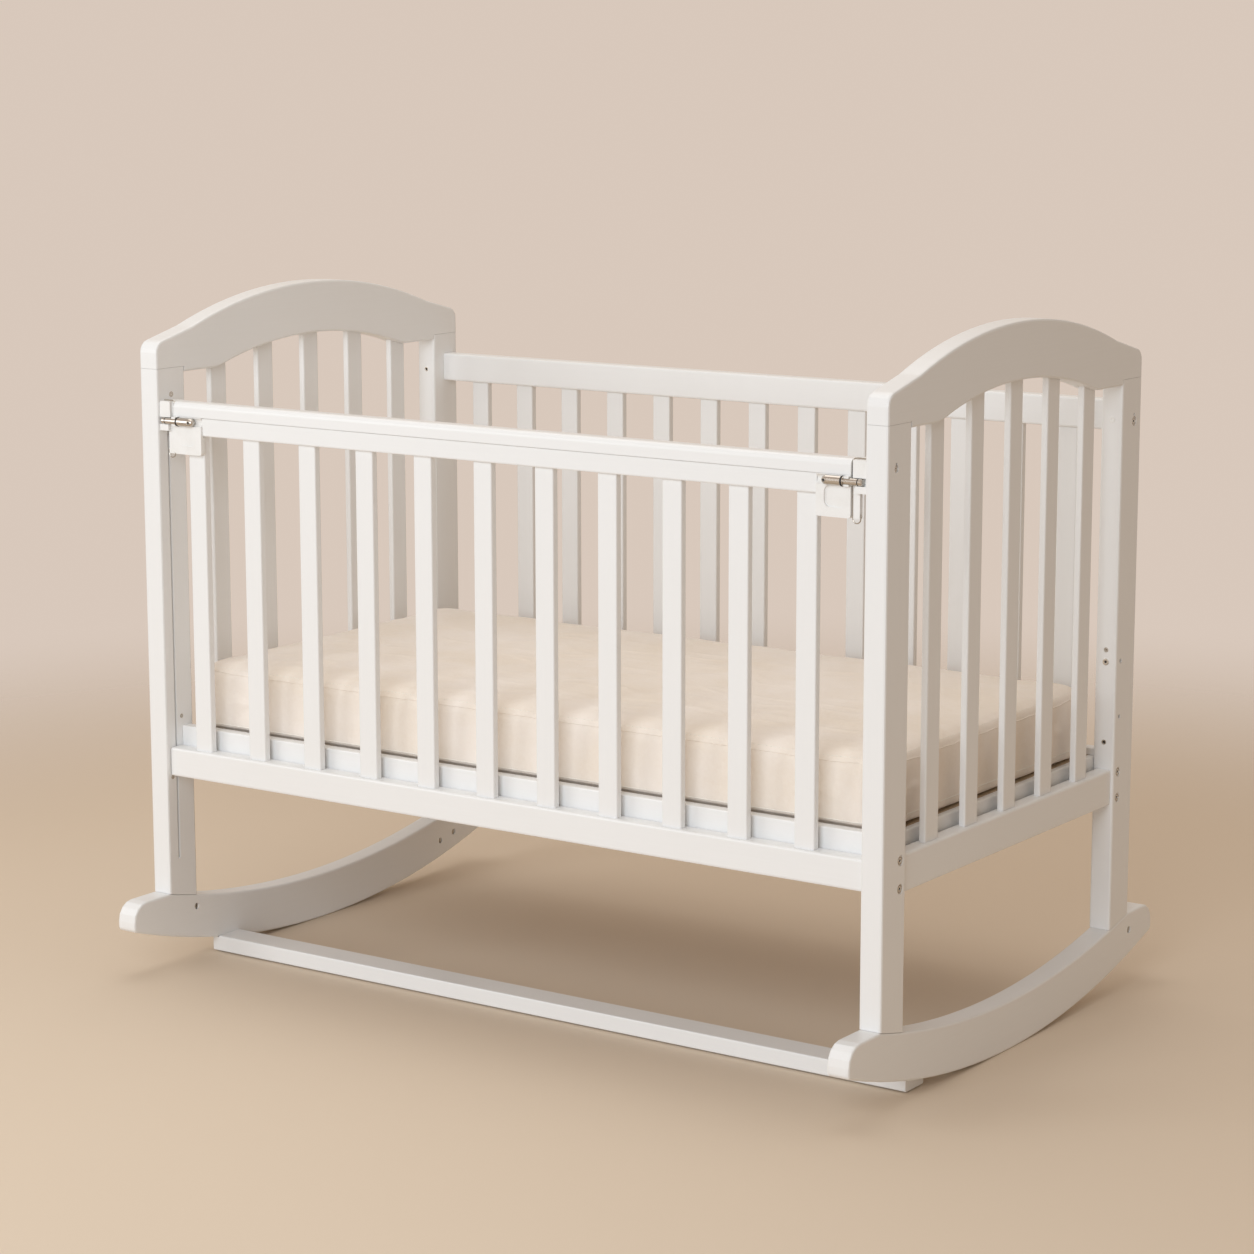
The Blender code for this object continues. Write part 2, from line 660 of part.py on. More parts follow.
def cut_front_post(post, side):
    """The groove that guides the drop side, and the hole of the keeper's screw."""
    groove = box_mesh(
        (2 * GROOVE_DEPTH, GROOVE_WIDTH, GROOVE_TOP - GROOVE_BOTTOM), "X", GROOVE_WIDTH / 2, FILLET_STEPS
    )
    cut(post, groove, (side * INNER_X, -SIDE_Y, (GROOVE_TOP + GROOVE_BOTTOM) / 2), "groove")
    z = KEEPER_SCREW_Z
    bore = rod_mesh(KEEPER_SCREW_DIAMETER / 2, POST_WIDTH + CUT_OVERRUN, ALONG_X)
    cut(post, bore, (side * POST_X, -SIDE_Y, z), "screw_hole")
    sink = rod_mesh(KEEPER_SCREW_HEAD / 2 + HEAD_CLEARANCE, 2 * KEEPER_SCREW_SINK, ALONG_X)
    cut(post, sink, (side * HALF_X, -SIDE_Y, z), "screw_sink")
    peak = rod_mesh(TEARDROP_DIAMETER / 2, 2 * KEEPER_SCREW_SINK, ALONG_X)
    cut(post, peak, (side * HALF_X, -SIDE_Y, z + TEARDROP_RISE), "screw_peak")


def cut_back_post(post, side):
    """The hole of the back rail's bolt, and the holes and inserts for a higher bed base."""
    z = BACK_RAIL_BOTTOM + BACK_RAIL_HEIGHT - BACK_RAIL_BOLT_DROP
    cut_frame_bolt_hole(post, side, SIDE_Y, z, "rail_bolt")
    pin_hole = rod_mesh(TEARDROP_DIAMETER / 2, 2 * FRAME_BOLT_SINK, ALONG_X)
    cut(post, pin_hole, (side * HALF_X, SIDE_Y, z + BACK_RAIL_HOLE_RISE), "rail_pin_hole")
    spare = rod_mesh(SPARE_HOLE_DIAMETER / 2, 2 * SPARE_HOLE_DEPTH, ALONG_X)
    insert = rod_mesh(INSERT_HOLE_DIAMETER / 2, 2 * INSERT_HOLE_DEPTH, ALONG_Y)
    upper_bolt = BOLT_PAIR_BOTTOM + BOLT_PAIR_SPACING
    steps = range(1, SPARE_LEVEL_COUNT + 1)
    outer_holes = [(spare, (0, 0, upper_bolt + step * SPARE_LEVEL_STEP)) for step in steps]
    heights = (INSERT_LOW, INSERT_PAIR_TOP - INSERT_PAIR_SPACING, INSERT_PAIR_TOP, INSERT_HIGH)
    insert_holes = [(insert, (0, 0, z)) for z in heights]
    cut(post, joined_mesh(outer_holes), (side * HALF_X, BASE_BOARD_Y, 0), "spare_holes")
    cut(post, joined_mesh(insert_holes), (side * POST_X, INNER_Y, 0), "insert_holes")


def arch_outline():
    """Half of the arch from its crown out to the post and back, then the other half mirrored."""
    half = []
    for step in range(ARC_STEPS + 1):
        y = ARCH_ARC_HALF * step / ARC_STEPS
        half.append((y, ARCH_CROWN - arc_fall(ARCH_TOP_RADIUS, y), 0))
    shoulder = half[-1][1]
    lip = POST_TOP - ARCH_LIP
    under_radius = ARCH_TOP_RADIUS - ARCH_BAND
    fall = ARCH_CROWN - ARCH_BAND - lip
    cove_y = math.sqrt(under_radius * under_radius - (under_radius - fall) * (under_radius - fall))
    half.append((HALF_Y, shoulder - ARCH_SHOULDER_DROP, ARCH_EAR_ROUND))
    half.append((HALF_Y, lip, 0))
    half.append((cove_y, lip, ARCH_COVE_RADIUS))
    for step in range(ARC_STEPS - 2, 0, -1):
        y = cove_y * step / ARC_STEPS
        half.append((y, arch_underside(y), 0))
    other = [(-y, z, radius) for y, z, radius in reversed(half[1:])]
    return filleted(half + [(0, arch_underside(0), 0)] + other)


def end_slat_top(y):
    """Height of an end slat's upper end, inside the arch."""
    return arch_underside(y) + END_TENON


def make_arch(side, name):
    """The arched top rail of an end, mortised for its slats."""
    at = (side * POST_X, 0, 0)
    arch = place(name, outline_mesh(arch_outline(), POST_WIDTH), at, CRIB, WHITE_PAINT)
    round_edges(arch, ARCH_EDGE_ROUND)
    mortises = []
    for y in end_slat_row():
        top = end_slat_top(y) + JOINT_GAP
        bottom = POST_TOP - ARCH_LIP - CUT_OVERRUN
        size = (END_SLAT_THICKNESS + 2 * JOINT_GAP, END_SLAT_WIDTH + 2 * JOINT_GAP, top - bottom)
        mortises.append((box_mesh(size, "Z", SLAT_EDGE_ROUND), (0, y, (top + bottom) / 2)))
    cut(arch, joined_mesh(mortises), at, "mortises")
    width = POST_DEPTH + JOINT_GAP + CUT_OVERRUN
    height = ARCH_LIP + JOINT_GAP + CUT_OVERRUN
    notch = box_mesh((POST_WIDTH + CUT_OVERRUN, width, height))
    y = INNER_Y - JOINT_GAP + width / 2
    z = POST_TOP + JOINT_GAP - height / 2
    notches = joined_mesh([(notch, (0, y, z)), (notch, (0, -y, z))])
    cut(arch, notches, at, "post_notches")
    return arch


def make_end_rail(side, name):
    """The lower rail of an end, between its posts."""
    size = (END_RAIL_THICKNESS, 2 * (INNER_Y - JOINT_GAP), END_RAIL_HEIGHT)
    at = (side * POST_X, 0, END_RAIL_BOTTOM + END_RAIL_HEIGHT / 2)
    rail = place(name, box_mesh(size, "Y", RAIL_EDGE_ROUND), at, CRIB, WHITE_PAINT)
    depth = END_TENON + JOINT_GAP
    size = (END_SLAT_THICKNESS + 2 * JOINT_GAP, END_SLAT_WIDTH + 2 * JOINT_GAP, depth + CUT_OVERRUN)
    mortise = box_mesh(size, "Z", SLAT_EDGE_ROUND)
    lift = END_RAIL_BOTTOM + END_RAIL_HEIGHT + (CUT_OVERRUN - depth) / 2
    mortises = [(mortise, (0, y, lift)) for y in end_slat_row()]
    cut(rail, joined_mesh(mortises), (side * POST_X, 0, 0), "mortises")
    return rail


def make_end_slats(side, name):
    """The upright slats of an end."""
    bottom = END_RAIL_BOTTOM + END_RAIL_HEIGHT - END_TENON
    for number, y in enumerate(end_slat_row(), 1):
        top = end_slat_top(y)
        mesh = box_mesh((END_SLAT_THICKNESS, END_SLAT_WIDTH, top - bottom), "Z", SLAT_EDGE_ROUND)
        place(f"{name}_{number}", mesh, (side * POST_X, y, (top + bottom) / 2), CRIB, WHITE_PAINT)


def slat_mortises(places, depth):
    """Cutters for the slats of a long side, from z = 0 up by the depth and down by the overrun."""
    size = (SLAT_WIDTH + 2 * JOINT_GAP, SLAT_THICKNESS + 2 * JOINT_GAP, depth + CUT_OVERRUN)
    mortise = box_mesh(size, "Z", SLAT_EDGE_ROUND)
    return joined_mesh([(mortise, (x, 0, (depth - CUT_OVERRUN) / 2)) for x in places])


def make_back():
    """The fixed back: a top rail, and a lower rail with the slats glued in it."""
    outermost = INNER_X - BACK_SLAT_END_SPACE
    places = evenly_spaced(-outermost, outermost, BACK_SLAT_COUNT)
    half = INNER_X - JOINT_GAP
    size = (2 * half, BACK_RAIL_DEPTH, BACK_RAIL_HEIGHT)
    at = (0, SIDE_Y, BACK_RAIL_BOTTOM + BACK_RAIL_HEIGHT / 2)
    top_rail = place("back_top_rail", box_mesh(size, "X", RAIL_EDGE_ROUND), at, CRIB, WHITE_PAINT)
    mortises = slat_mortises(places, BACK_TENON + JOINT_GAP)
    cut(top_rail, mortises, (0, SIDE_Y, BACK_RAIL_BOTTOM), "mortises")
    z = BACK_RAIL_BOTTOM + BACK_RAIL_HEIGHT - BACK_RAIL_BOLT_DROP
    cut_bolt_bores(top_rail, half, SIDE_Y, [z])
    size = (2 * half, LOWER_RAIL_DEPTH, LOWER_RAIL_HEIGHT)
    at = (0, SIDE_Y, LOWER_RAIL_BOTTOM + LOWER_RAIL_HEIGHT / 2)
    panel = place("back_slat_panel", box_mesh(size, "X", RAIL_EDGE_ROUND), at, CRIB, WHITE_PAINT)
    bottom = LOWER_RAIL_TOP - LOWER_TENON
    top = BACK_RAIL_BOTTOM + BACK_TENON
    slat = box_mesh((SLAT_WIDTH, SLAT_THICKNESS, top - bottom), "Z", SLAT_EDGE_ROUND)
    slats = joined_mesh([(slat, (x, 0, 0)) for x in places])
    add(panel, slats, (0, SIDE_Y, (top + bottom) / 2), "slats")


def cut_bolt_bores(thing, half, y, heights):
    """Bores for the frame bolts in both ends of a rail or board."""
    bore = rod_mesh(FRAME_BOLT_BORE / 2, FRAME_BOLT_REACH + CUT_OVERRUN, ALONG_X)
    middle = half + (CUT_OVERRUN - FRAME_BOLT_REACH) / 2
    bores = [(bore, (side * middle, 0, z)) for side in (LEFT, RIGHT) for z in heights]
    cut(thing, joined_mesh(bores), (0, y, 0), "bolt_bores")


def make_drop_side(carrier):
    """The sliding front side: two lower rails, slats, a cap rail and its guide pins."""
    y = -SIDE_Y
    places = evenly_spaced(SIDE_SLAT_LEFT_SPACE - INNER_X, INNER_X - SIDE_SLAT_RIGHT_SPACE, SIDE_SLAT_COUNT)
    size = (2 * HOUSING_END_X, CAP_DEPTH, CAP_HEIGHT)
    at = (0, y, CAP_BOTTOM + CAP_HEIGHT / 2)
    mesh = box_mesh(size, "X", CAP_TOP_ROUND, FILLET_STEPS, is_upper)
    place("side_cap_rail", mesh, at, CRIB, WHITE_PAINT, carrier)
    size = (2 * TOP_RAIL_HALF, TOP_RAIL_DEPTH, TOP_RAIL_HEIGHT)
    at = (0, y, TOP_RAIL_BOTTOM + TOP_RAIL_HEIGHT / 2)
    mesh = box_mesh(size, "X", SLAT_EDGE_ROUND)
    top_rail = place("side_top_rail", mesh, at, CRIB, WHITE_PAINT, carrier)
    mortises = slat_mortises(places, TOP_TENON + JOINT_GAP)
    cut(top_rail, mortises, (0, y, TOP_RAIL_BOTTOM), "mortises")
    cut_end_cheeks(top_rail)
    size = (2 * LOWER_RAIL_HALF, LOWER_RAIL_DEPTH, LOWER_RAIL_HEIGHT)
    at = (0, y, LOWER_RAIL_BOTTOM + LOWER_RAIL_HEIGHT / 2)
    mesh = box_mesh(size, "X", RAIL_EDGE_ROUND)
    lower_rail = place("side_bottom_rail", mesh, at, CRIB, WHITE_PAINT, carrier)
    lower_mortises = slat_mortises(places, LOWER_TENON + JOINT_GAP)
    lower_mortises.transform(UPSIDE_DOWN)
    cut(lower_rail, lower_mortises, (0, y, LOWER_RAIL_TOP), "mortises")
    bottom = LOWER_RAIL_TOP - LOWER_TENON
    top = TOP_RAIL_BOTTOM + TOP_TENON
    slat_size = (SLAT_WIDTH, SLAT_THICKNESS, top - bottom)
    for number, x in enumerate(places, 1):
        mesh = box_mesh(slat_size, "Z", SLAT_EDGE_ROUND)
        place(f"side_slat_{number}", mesh, (x, y, (top + bottom) / 2), CRIB, WHITE_PAINT, carrier)
    for side, word in SIDES:
        make_guide_pin(side, f"guide_pin_upper_{word}", top_rail, TOP_RAIL_HALF, UPPER_PIN_Z, carrier)
        make_guide_pin(side, f"guide_pin_lower_{word}", lower_rail, LOWER_RAIL_HALF, LOWER_PIN_Z, carrier)


def cut_end_cheeks(top_rail):
    """Thin the top rail's ends, front and back, where they go into the latch housings."""
    length = TOP_RAIL_HALF - HOUSING_START_X + JOINT_GAP + CUT_OVERRUN
    depth = (TOP_RAIL_DEPTH - TOP_RAIL_END_DEPTH) / 2 + CUT_OVERRUN
    cheek = box_mesh((length, depth, TOP_RAIL_HEIGHT + CUT_OVERRUN))
    x = TOP_RAIL_HALF + CUT_OVERRUN - length / 2
    y = (TOP_RAIL_END_DEPTH + depth) / 2
    cheeks = [(cheek, (side * x, end * y, 0)) for side in (LEFT, RIGHT) for end in (FRONT, BACK)]
    cut(top_rail, joined_mesh(cheeks), (0, -SIDE_Y, UPPER_PIN_Z), "end_cheeks")


def make_guide_pin(side, name, rail, rail_half, z, carrier):
    """A steel pin in a rail's end that runs in the groove of the post."""
    start = rail_half - PIN_SEAT
    length = PIN_END_X - start
    middle = side * (PIN_END_X + start) / 2
    mesh = rod_mesh(PIN_DIAMETER / 2, length, ALONG_X)
    place(name, mesh, (middle, -SIDE_Y, z), CRIB, NICKEL, carrier)
    depth = PIN_SEAT + JOINT_GAP
    bore = rod_mesh(PIN_DIAMETER / 2 + JOINT_GAP, depth + CUT_OVERRUN, ALONG_X)
    cut(rail, bore, (side * (rail_half + (CUT_OVERRUN - depth) / 2), -SIDE_Y, z), f"{name}_bore")


def make_latch_housing(side, name, carrier):
    """The plastic end piece of the drop side's top rail, which carries the latch bolt."""
    size = (HOUSING_LENGTH, CAP_DEPTH, HOUSING_HEIGHT)
    at = (side * HOUSING_MIDDLE_X, -SIDE_Y, HOUSING_BOTTOM + HOUSING_HEIGHT / 2)
    mesh = box_mesh(size, "Y", HOUSING_CORNER_ROUND, FILLET_STEPS, is_lower)
    housing = place(name, mesh, at, CRIB, WHITE_PLASTIC, carrier)
    lug_size = (LUG_LENGTH, LUG_PROUD + HOUSING_PLATE / 2, LUG_HEIGHT)
    lug_y = -(PANEL_FRONT_Y + LUG_PROUD) + lug_size[1] / 2
    lug_x = side * (LUG_START_X + LUG_LENGTH / 2)
    add(housing, box_mesh(lug_size), (lug_x, lug_y, BOLT_Z), "lug")
    cut_rail_pocket(housing, side)
    cut_bolt_way(housing, side)
    cut_scoop(housing, side)


def cut_rail_pocket(housing, side):
    """Room for the top rail's end, and for the slat below it."""
    pocket_end = HOUSING_END_X - HOUSING_END_WALL
    start = HOUSING_START_X - CUT_OVERRUN
    length = pocket_end - start
    bottom = TOP_RAIL_BOTTOM - JOINT_GAP - 2 * HOUSING_STEP
    top = TOP_RAIL_TOP + CUT_OVERRUN
    size = (length, TOP_RAIL_END_DEPTH + 2 * JOINT_GAP, top - bottom)
    at = (side * (start + length / 2), -SIDE_Y, (top + bottom) / 2)
    cut(housing, box_mesh(size), at, "rail_pocket")
    low = HOUSING_BOTTOM - CUT_OVERRUN
    high = bottom + HOUSING_STEP
    back = SIDE_Y - CAP_DEPTH / 2 - CUT_OVERRUN
    width = PLATE_BACK_Y - back
    size = (HOUSING_LENGTH + 2 * CUT_OVERRUN, width, high - low)
    at = (side * HOUSING_MIDDLE_X, -(back + width / 2), (high + low) / 2)
    cut(housing, box_mesh(size), at, "slat_room")
    bore = rod_mesh(PIN_DIAMETER / 2 + JOINT_GAP, HOUSING_END_WALL + 2 * CUT_OVERRUN, ALONG_X)
    cut(housing, bore, (side * (HOUSING_END_X - HOUSING_END_WALL / 2), -SIDE_Y, UPPER_PIN_Z), "pin_hole")


def cut_bolt_way(housing, side):
    """The trough that the barrel slides in, and the bore of the lug."""
    start = HOUSING_START_X - CUT_OVERRUN
    middle = (start + LUG_START_X) / 2
    trough = rod_mesh(BARREL_DIAMETER / 2 + ROD_CLEARANCE, LUG_START_X - start, ALONG_X)
    cut(housing, trough, (side * middle, -BOLT_Y, BOLT_Z), "barrel_trough")
    start = LUG_START_X - CUT_OVERRUN
    end = HOUSING_END_X + CUT_OVERRUN
    bore = rod_mesh(ROD_DIAMETER / 2 + ROD_CLEARANCE, end - start, ALONG_X)
    cut(housing, bore, (side * (start + end) / 2, -BOLT_Y, BOLT_Z), "rod_bore")


def cut_scoop(housing, side):
    """A shallow finger scoop under the bolt, deep at its inner edge and running out outwards."""
    bottom = HOUSING_BOTTOM + SCOOP_MARGIN
    top = BOLT_Z - BARREL_DIAMETER / 2 - HOUSING_STEP
    slope = math.atan(SCOOP_DEPTH / SCOOP_LENGTH)
    thickness = 2 * SCOOP_DEPTH
    mesh = box_mesh((SCOOP_LENGTH, thickness, top - bottom), "Y", SCOOP_ROUND, FILLET_STEPS)
    mesh.transform(Matrix.Rotation(side * slope, 4, "Z").inverted())
    inner = BARREL_START_X + HOUSING_STEP
    x = side * (inner + SCOOP_LENGTH / 2)
    cut(housing, mesh, (x, -(PANEL_FRONT_Y + SCOOP_DEPTH / 2), (bottom + top) / 2), "scoop")


def make_latch_bolt(side, name, carrier):
    """The nickel bolt: a barrel to pull it by, a ring groove, the rod and its tip."""
    barrel = BARREL_DIAMETER / 2
    rod = ROD_DIAMETER / 2
    tip = BOLT_TIP_X - BARREL_START_X
    ring_end = BARREL_LENGTH - BOLT_RING_WIDTH
    profile = [(0, tip), (rod - TIP_CHAMFER, tip), (rod, tip - TIP_CHAMFER)]
    neck_start = TIP_NECK_INSET
    profile += [
        (rod, tip - neck_start),
        (rod - TIP_NECK_DEPTH, tip - neck_start),
        (rod - TIP_NECK_DEPTH, tip - neck_start - TIP_NECK_WIDTH),
        (rod, tip - neck_start - TIP_NECK_WIDTH),
        (rod, BARREL_LENGTH),
        (barrel, BARREL_LENGTH),
        (barrel, BARREL_LENGTH - BOLT_RING_WIDTH / 2),
        (barrel - BOLT_RING_DEPTH, BARREL_LENGTH - BOLT_RING_WIDTH / 2),
        (barrel - BOLT_RING_DEPTH, ring_end - BOLT_RING_WIDTH / 2),
        (barrel, ring_end - BOLT_RING_WIDTH / 2),
    ]
    for step in range(FILLET_STEPS):
        angle = math.pi / 2 * step / FILLET_STEPS
        profile.append((barrel * math.cos(angle), barrel - barrel * math.sin(angle)))
    profile.append((0, 0))
    mesh = turned_mesh(profile, Matrix.Rotation(side * math.pi / 2, 4, "Y"))
    place(name, mesh, (side * BARREL_START_X, -BOLT_Y, BOLT_Z), CRIB, NICKEL, carrier)


def make_keeper(side, name):
    """The plastic keeper on a front post: a block with the bolt's channel, and a tongue below."""
    depth = KEEPER_FRONT_Y - (SIDE_Y - KEEPER_BACK_DEPTH)
    middle_x = side * (KEEPER_INNER_X + KEEPER_WIDTH / 2)
    at = (middle_x, -(KEEPER_FRONT_Y - depth / 2), KEEPER_TOP - KEEPER_HEIGHT / 2)
    size = (KEEPER_WIDTH, depth, KEEPER_HEIGHT)
    mesh = box_mesh(size, "Y", KEEPER_ROUND, FILLET_STEPS, is_upper)
    keeper = place(name, mesh, at, CRIB, WHITE_PLASTIC)
    tongue_bottom = KEEPER_TOP - KEEPER_HEIGHT - TONGUE_HEIGHT
    size = (TONGUE_WIDTH, TONGUE_DEPTH, TONGUE_HEIGHT + TONGUE_OVERLAP)
    at = (side * (KEEPER_INNER_X + TONGUE_WIDTH / 2), -TONGUE_Y, tongue_bottom + size[2] / 2)
    add(keeper, box_mesh(size), at, "tongue")
    cut_bolt_channel(keeper, side)
    slot_top = UPPER_PIN_Z + GROOVE_WIDTH / 2
    slot_bottom = KEEPER_TOP - KEEPER_HEIGHT - CUT_OVERRUN
    size = (KEEPER_WIDTH + 2 * CUT_OVERRUN, GROOVE_WIDTH, slot_top - slot_bottom)
    cut(keeper, box_mesh(size), (middle_x, -SIDE_Y, (slot_top + slot_bottom) / 2), "pin_slot")
    bore = rod_mesh(KEEPER_SCREW_DIAMETER / 2, 2 * KEEPER_SCREW_REACH, ALONG_X)
    cut(keeper, bore, (side * (INNER_X - JOINT_GAP), -SIDE_Y, KEEPER_SCREW_Z), "screw_bore")
    make_keeper_spring(side, name.replace("keeper", "keeper_spring"), tongue_bottom)


def cut_bolt_channel(keeper, side):
    """The bolt's channel, open below where the drawn tip passes down and above for the spring."""
    width = KEEPER_FRONT_Y + CUT_OVERRUN - BOLT_WAY_BACK_Y
    y = -(BOLT_WAY_BACK_Y + width / 2)
    start = KEEPER_INNER_X - CUT_OVERRUN
    end = INNER_X + CUT_OVERRUN
    channel = box_mesh((end - start, width, 2 * BOLT_WAY_HALF))
    cut(keeper, channel, (side * (start + end) / 2, y, BOLT_Z), "bolt_channel")
    bottom = KEEPER_TOP - KEEPER_HEIGHT - CUT_OVERRUN
    drop_way = box_mesh((DROP_WAY_END_X - start, width, BOLT_Z - bottom))
    at = (side * (start + DROP_WAY_END_X) / 2, y, (BOLT_Z + bottom) / 2)
    cut(keeper, drop_way, at, "drop_way")
    top = KEEPER_TOP + CUT_OVERRUN
    end = KEEPER_INNER_X + SPRING_REBATE
    rebate = box_mesh((end - start, width, top - BOLT_Z))
    at = (side * (start + end) / 2, y, (top + BOLT_Z) / 2)
    cut(keeper, rebate, at, "spring_rebate")


def make_keeper_spring(side, name, tongue_bottom):
    """A wire spring over the keeper's top, down its inner side and round the tongue's lower end."""
    wire = SPRING_WIRE / 2
    inner = KEEPER_INNER_X - JOINT_GAP - wire
    outer = KEEPER_INNER_X + TONGUE_WIDTH + JOINT_GAP + wire
    bend = (outer - inner) / 2
    middle = (outer + inner) / 2
    corner = KEEPER_ROUND + JOINT_GAP + wire
    corner_x = KEEPER_INNER_X + KEEPER_ROUND
    corner_z = KEEPER_TOP - KEEPER_ROUND
    route = [(INNER_X - JOINT_GAP - KEEPER_ROUND, corner_z + corner)]
    for step in range(WIRE_BEND_STEPS + 1):
        angle = math.pi / 2 * step / WIRE_BEND_STEPS
        route.append((corner_x - corner * math.sin(angle), corner_z + corner * math.cos(angle)))
    for step in range(WIRE_BEND_STEPS + 1):
        angle = math.pi * step / WIRE_BEND_STEPS
        route.append((middle - bend * math.cos(angle), tongue_bottom - bend * math.sin(angle)))
    route.append((outer, tongue_bottom + SPRING_HOOK))
    curve = bpy.data.curves.new(name, "CURVE")
    curve.dimensions = "3D"
    curve.bevel_depth = wire
    curve.bevel_resolution = 1
    curve.use_fill_caps = True
    spline = curve.splines.new("POLY")
    spline.points.add(len(route) - 1)
    for point, (x, z) in zip(spline.points, route):
        point.co = (side * (x - middle), 0, z - tongue_bottom, POINT_WEIGHT_SHARE)
    thing = bpy.data.objects.new(name, curve)
    thing.location = (side * middle, -SPRING_Y, tongue_bottom)
    CRIB.objects.link(thing)
    curve.materials.append(material(name, NICKEL))


def make_base_boards():
    """The four boards of the bed base, slotted for the panel and bored for the frame bolts."""
    heights = [BOLT_PAIR_BOTTOM + index * BOLT_PAIR_SPACING for index in range(BOLT_PAIR_COUNT)]
    bottom = BASE_TOP - BASE_BOARD_HEIGHT
    slot_height = BASE_PANEL_TOP - BASE_PANEL_BOTTOM + 2 * JOINT_GAP
    slot_depth = BASE_SLOT_DEPTH + CUT_OVERRUN
    for end, word in ((FRONT, "front"), (BACK, "back")):
        size = (2 * BASE_HALF, BASE_BOARD_THICKNESS, BASE_BOARD_HEIGHT)
        at = (0, end * BASE_BOARD_Y, bottom + BASE_BOARD_HEIGHT / 2)
        mesh = box_mesh(size, "X", SLAT_EDGE_ROUND)
        board = place(f"base_board_{word}", mesh, at, CRIB, WHITE_PAINT)
        cut_bolt_bores(board, BASE_HALF, end * BASE_BOARD_Y, heights)
        slot = box_mesh((2 * (BASE_HALF + CUT_OVERRUN), slot_depth, slot_height))
        y = BASE_BOARD_INNER_Y + (BASE_SLOT_DEPTH - CUT_OVERRUN) / 2
        cut(board, slot, (0, end * y, (BASE_PANEL_TOP + BASE_PANEL_BOTTOM) / 2), "panel_slot")
    length = 2 * (BASE_BOARD_INNER_Y - JOINT_GAP)
    height = BASE_PANEL_TOP - bottom
    rest = box_mesh((slot_depth, length + CUT_OVERRUN, slot_height))
    for side, word in SIDES:
        x = side * (BASE_HALF - BASE_BOARD_THICKNESS / 2)
        mesh = box_mesh((BASE_BOARD_THICKNESS, length, height), "Y", SLAT_EDGE_ROUND)
        at = (x, 0, bottom + height / 2)
        board = place(f"base_end_board_{word}", mesh, at, CRIB, WHITE_PAINT)
        x = BASE_HALF - BASE_BOARD_THICKNESS + (BASE_SLOT_DEPTH - CUT_OVERRUN) / 2
        z = BASE_PANEL_BOTTOM - JOINT_GAP + slot_height / 2
        cut(board, rest, (side * x, 0, z), "panel_rest")
    centre_length = 2 * (BASE_HALF - BASE_BOARD_THICKNESS - JOINT_GAP)
    size = (centre_length, BASE_CENTRE_BAR_WIDTH, BASE_BOARD_THICKNESS)
    z = BASE_PANEL_BOTTOM - JOINT_GAP - BASE_BOARD_THICKNESS / 2
    place("base_centre_bar", box_mesh(size, "X", SLAT_EDGE_ROUND), (0, 0, z), CRIB, WHITE_PAINT)


def make_base_panel():
    """The panel under the mattress, with air holes."""
    half_x = BASE_HALF - BASE_BOARD_THICKNESS + BASE_SLOT_DEPTH - JOINT_GAP
    half_y = BASE_BOARD_INNER_Y + BASE_SLOT_DEPTH - JOINT_GAP
    size = (2 * half_x, 2 * half_y, BASE_PANEL_THICKNESS)
    at = (0, 0, BASE_PANEL_TOP - BASE_PANEL_THICKNESS / 2)
    panel = place("base_panel", box_mesh(size), at, CRIB, HARDBOARD)
    hole = rod_mesh(BASE_HOLE_DIAMETER / 2, BASE_PANEL_THICKNESS + 2 * CUT_OVERRUN, ALONG_Z)
    pitch_x = 2 * half_x / BASE_HOLE_COLUMN_COUNT
    pitch_y = 2 * half_y / BASE_HOLE_ROW_COUNT
    holes = [
        (hole, (x, y, 0))
        for x in spread(BASE_HOLE_COLUMN_COUNT, pitch_x)
        for y in spread(BASE_HOLE_ROW_COUNT, pitch_y)
    ]
    cut(panel, joined_mesh(holes), at, "air_holes")


def mattress_outline(half_x, half_y, corner):
    """Points round a rectangle with rounded corners, as (x, y, how far along its side from -1 to 1)."""
    points = []
    for sign_x, sign_y, start in ((1, -1, -90), (1, 1, 0), (-1, 1, 90), (-1, -1, 180)):
        centre = Vector((sign_x * (half_x - corner), sign_y * (half_y - corner)))
        for step in range(FILLET_STEPS + 1):
            angle = math.radians(start) + math.pi / 2 * step / FILLET_STEPS
            points.append((centre + corner * Vector((math.cos(angle), math.sin(angle))), 1.0))
        along_y = start in (-90, 90)
        parts = MATTRESS_SHORT_STEPS if along_y else MATTRESS_LONG_STEPS
        next_sign = (sign_x, -sign_y) if along_y else (-sign_x, sign_y)
        for step in range(1, parts):
            share = step / parts
            if along_y:
                flat = half_y - corner
                point = Vector((sign_x * half_x, sign_y * flat + share * (next_sign[1] - sign_y) * flat))
            else:
                flat = half_x - corner
                point = Vector((sign_x * flat + share * (next_sign[0] - sign_x) * flat, sign_y * half_y))
            points.append((point, abs(2 * share - 1)))
    return points


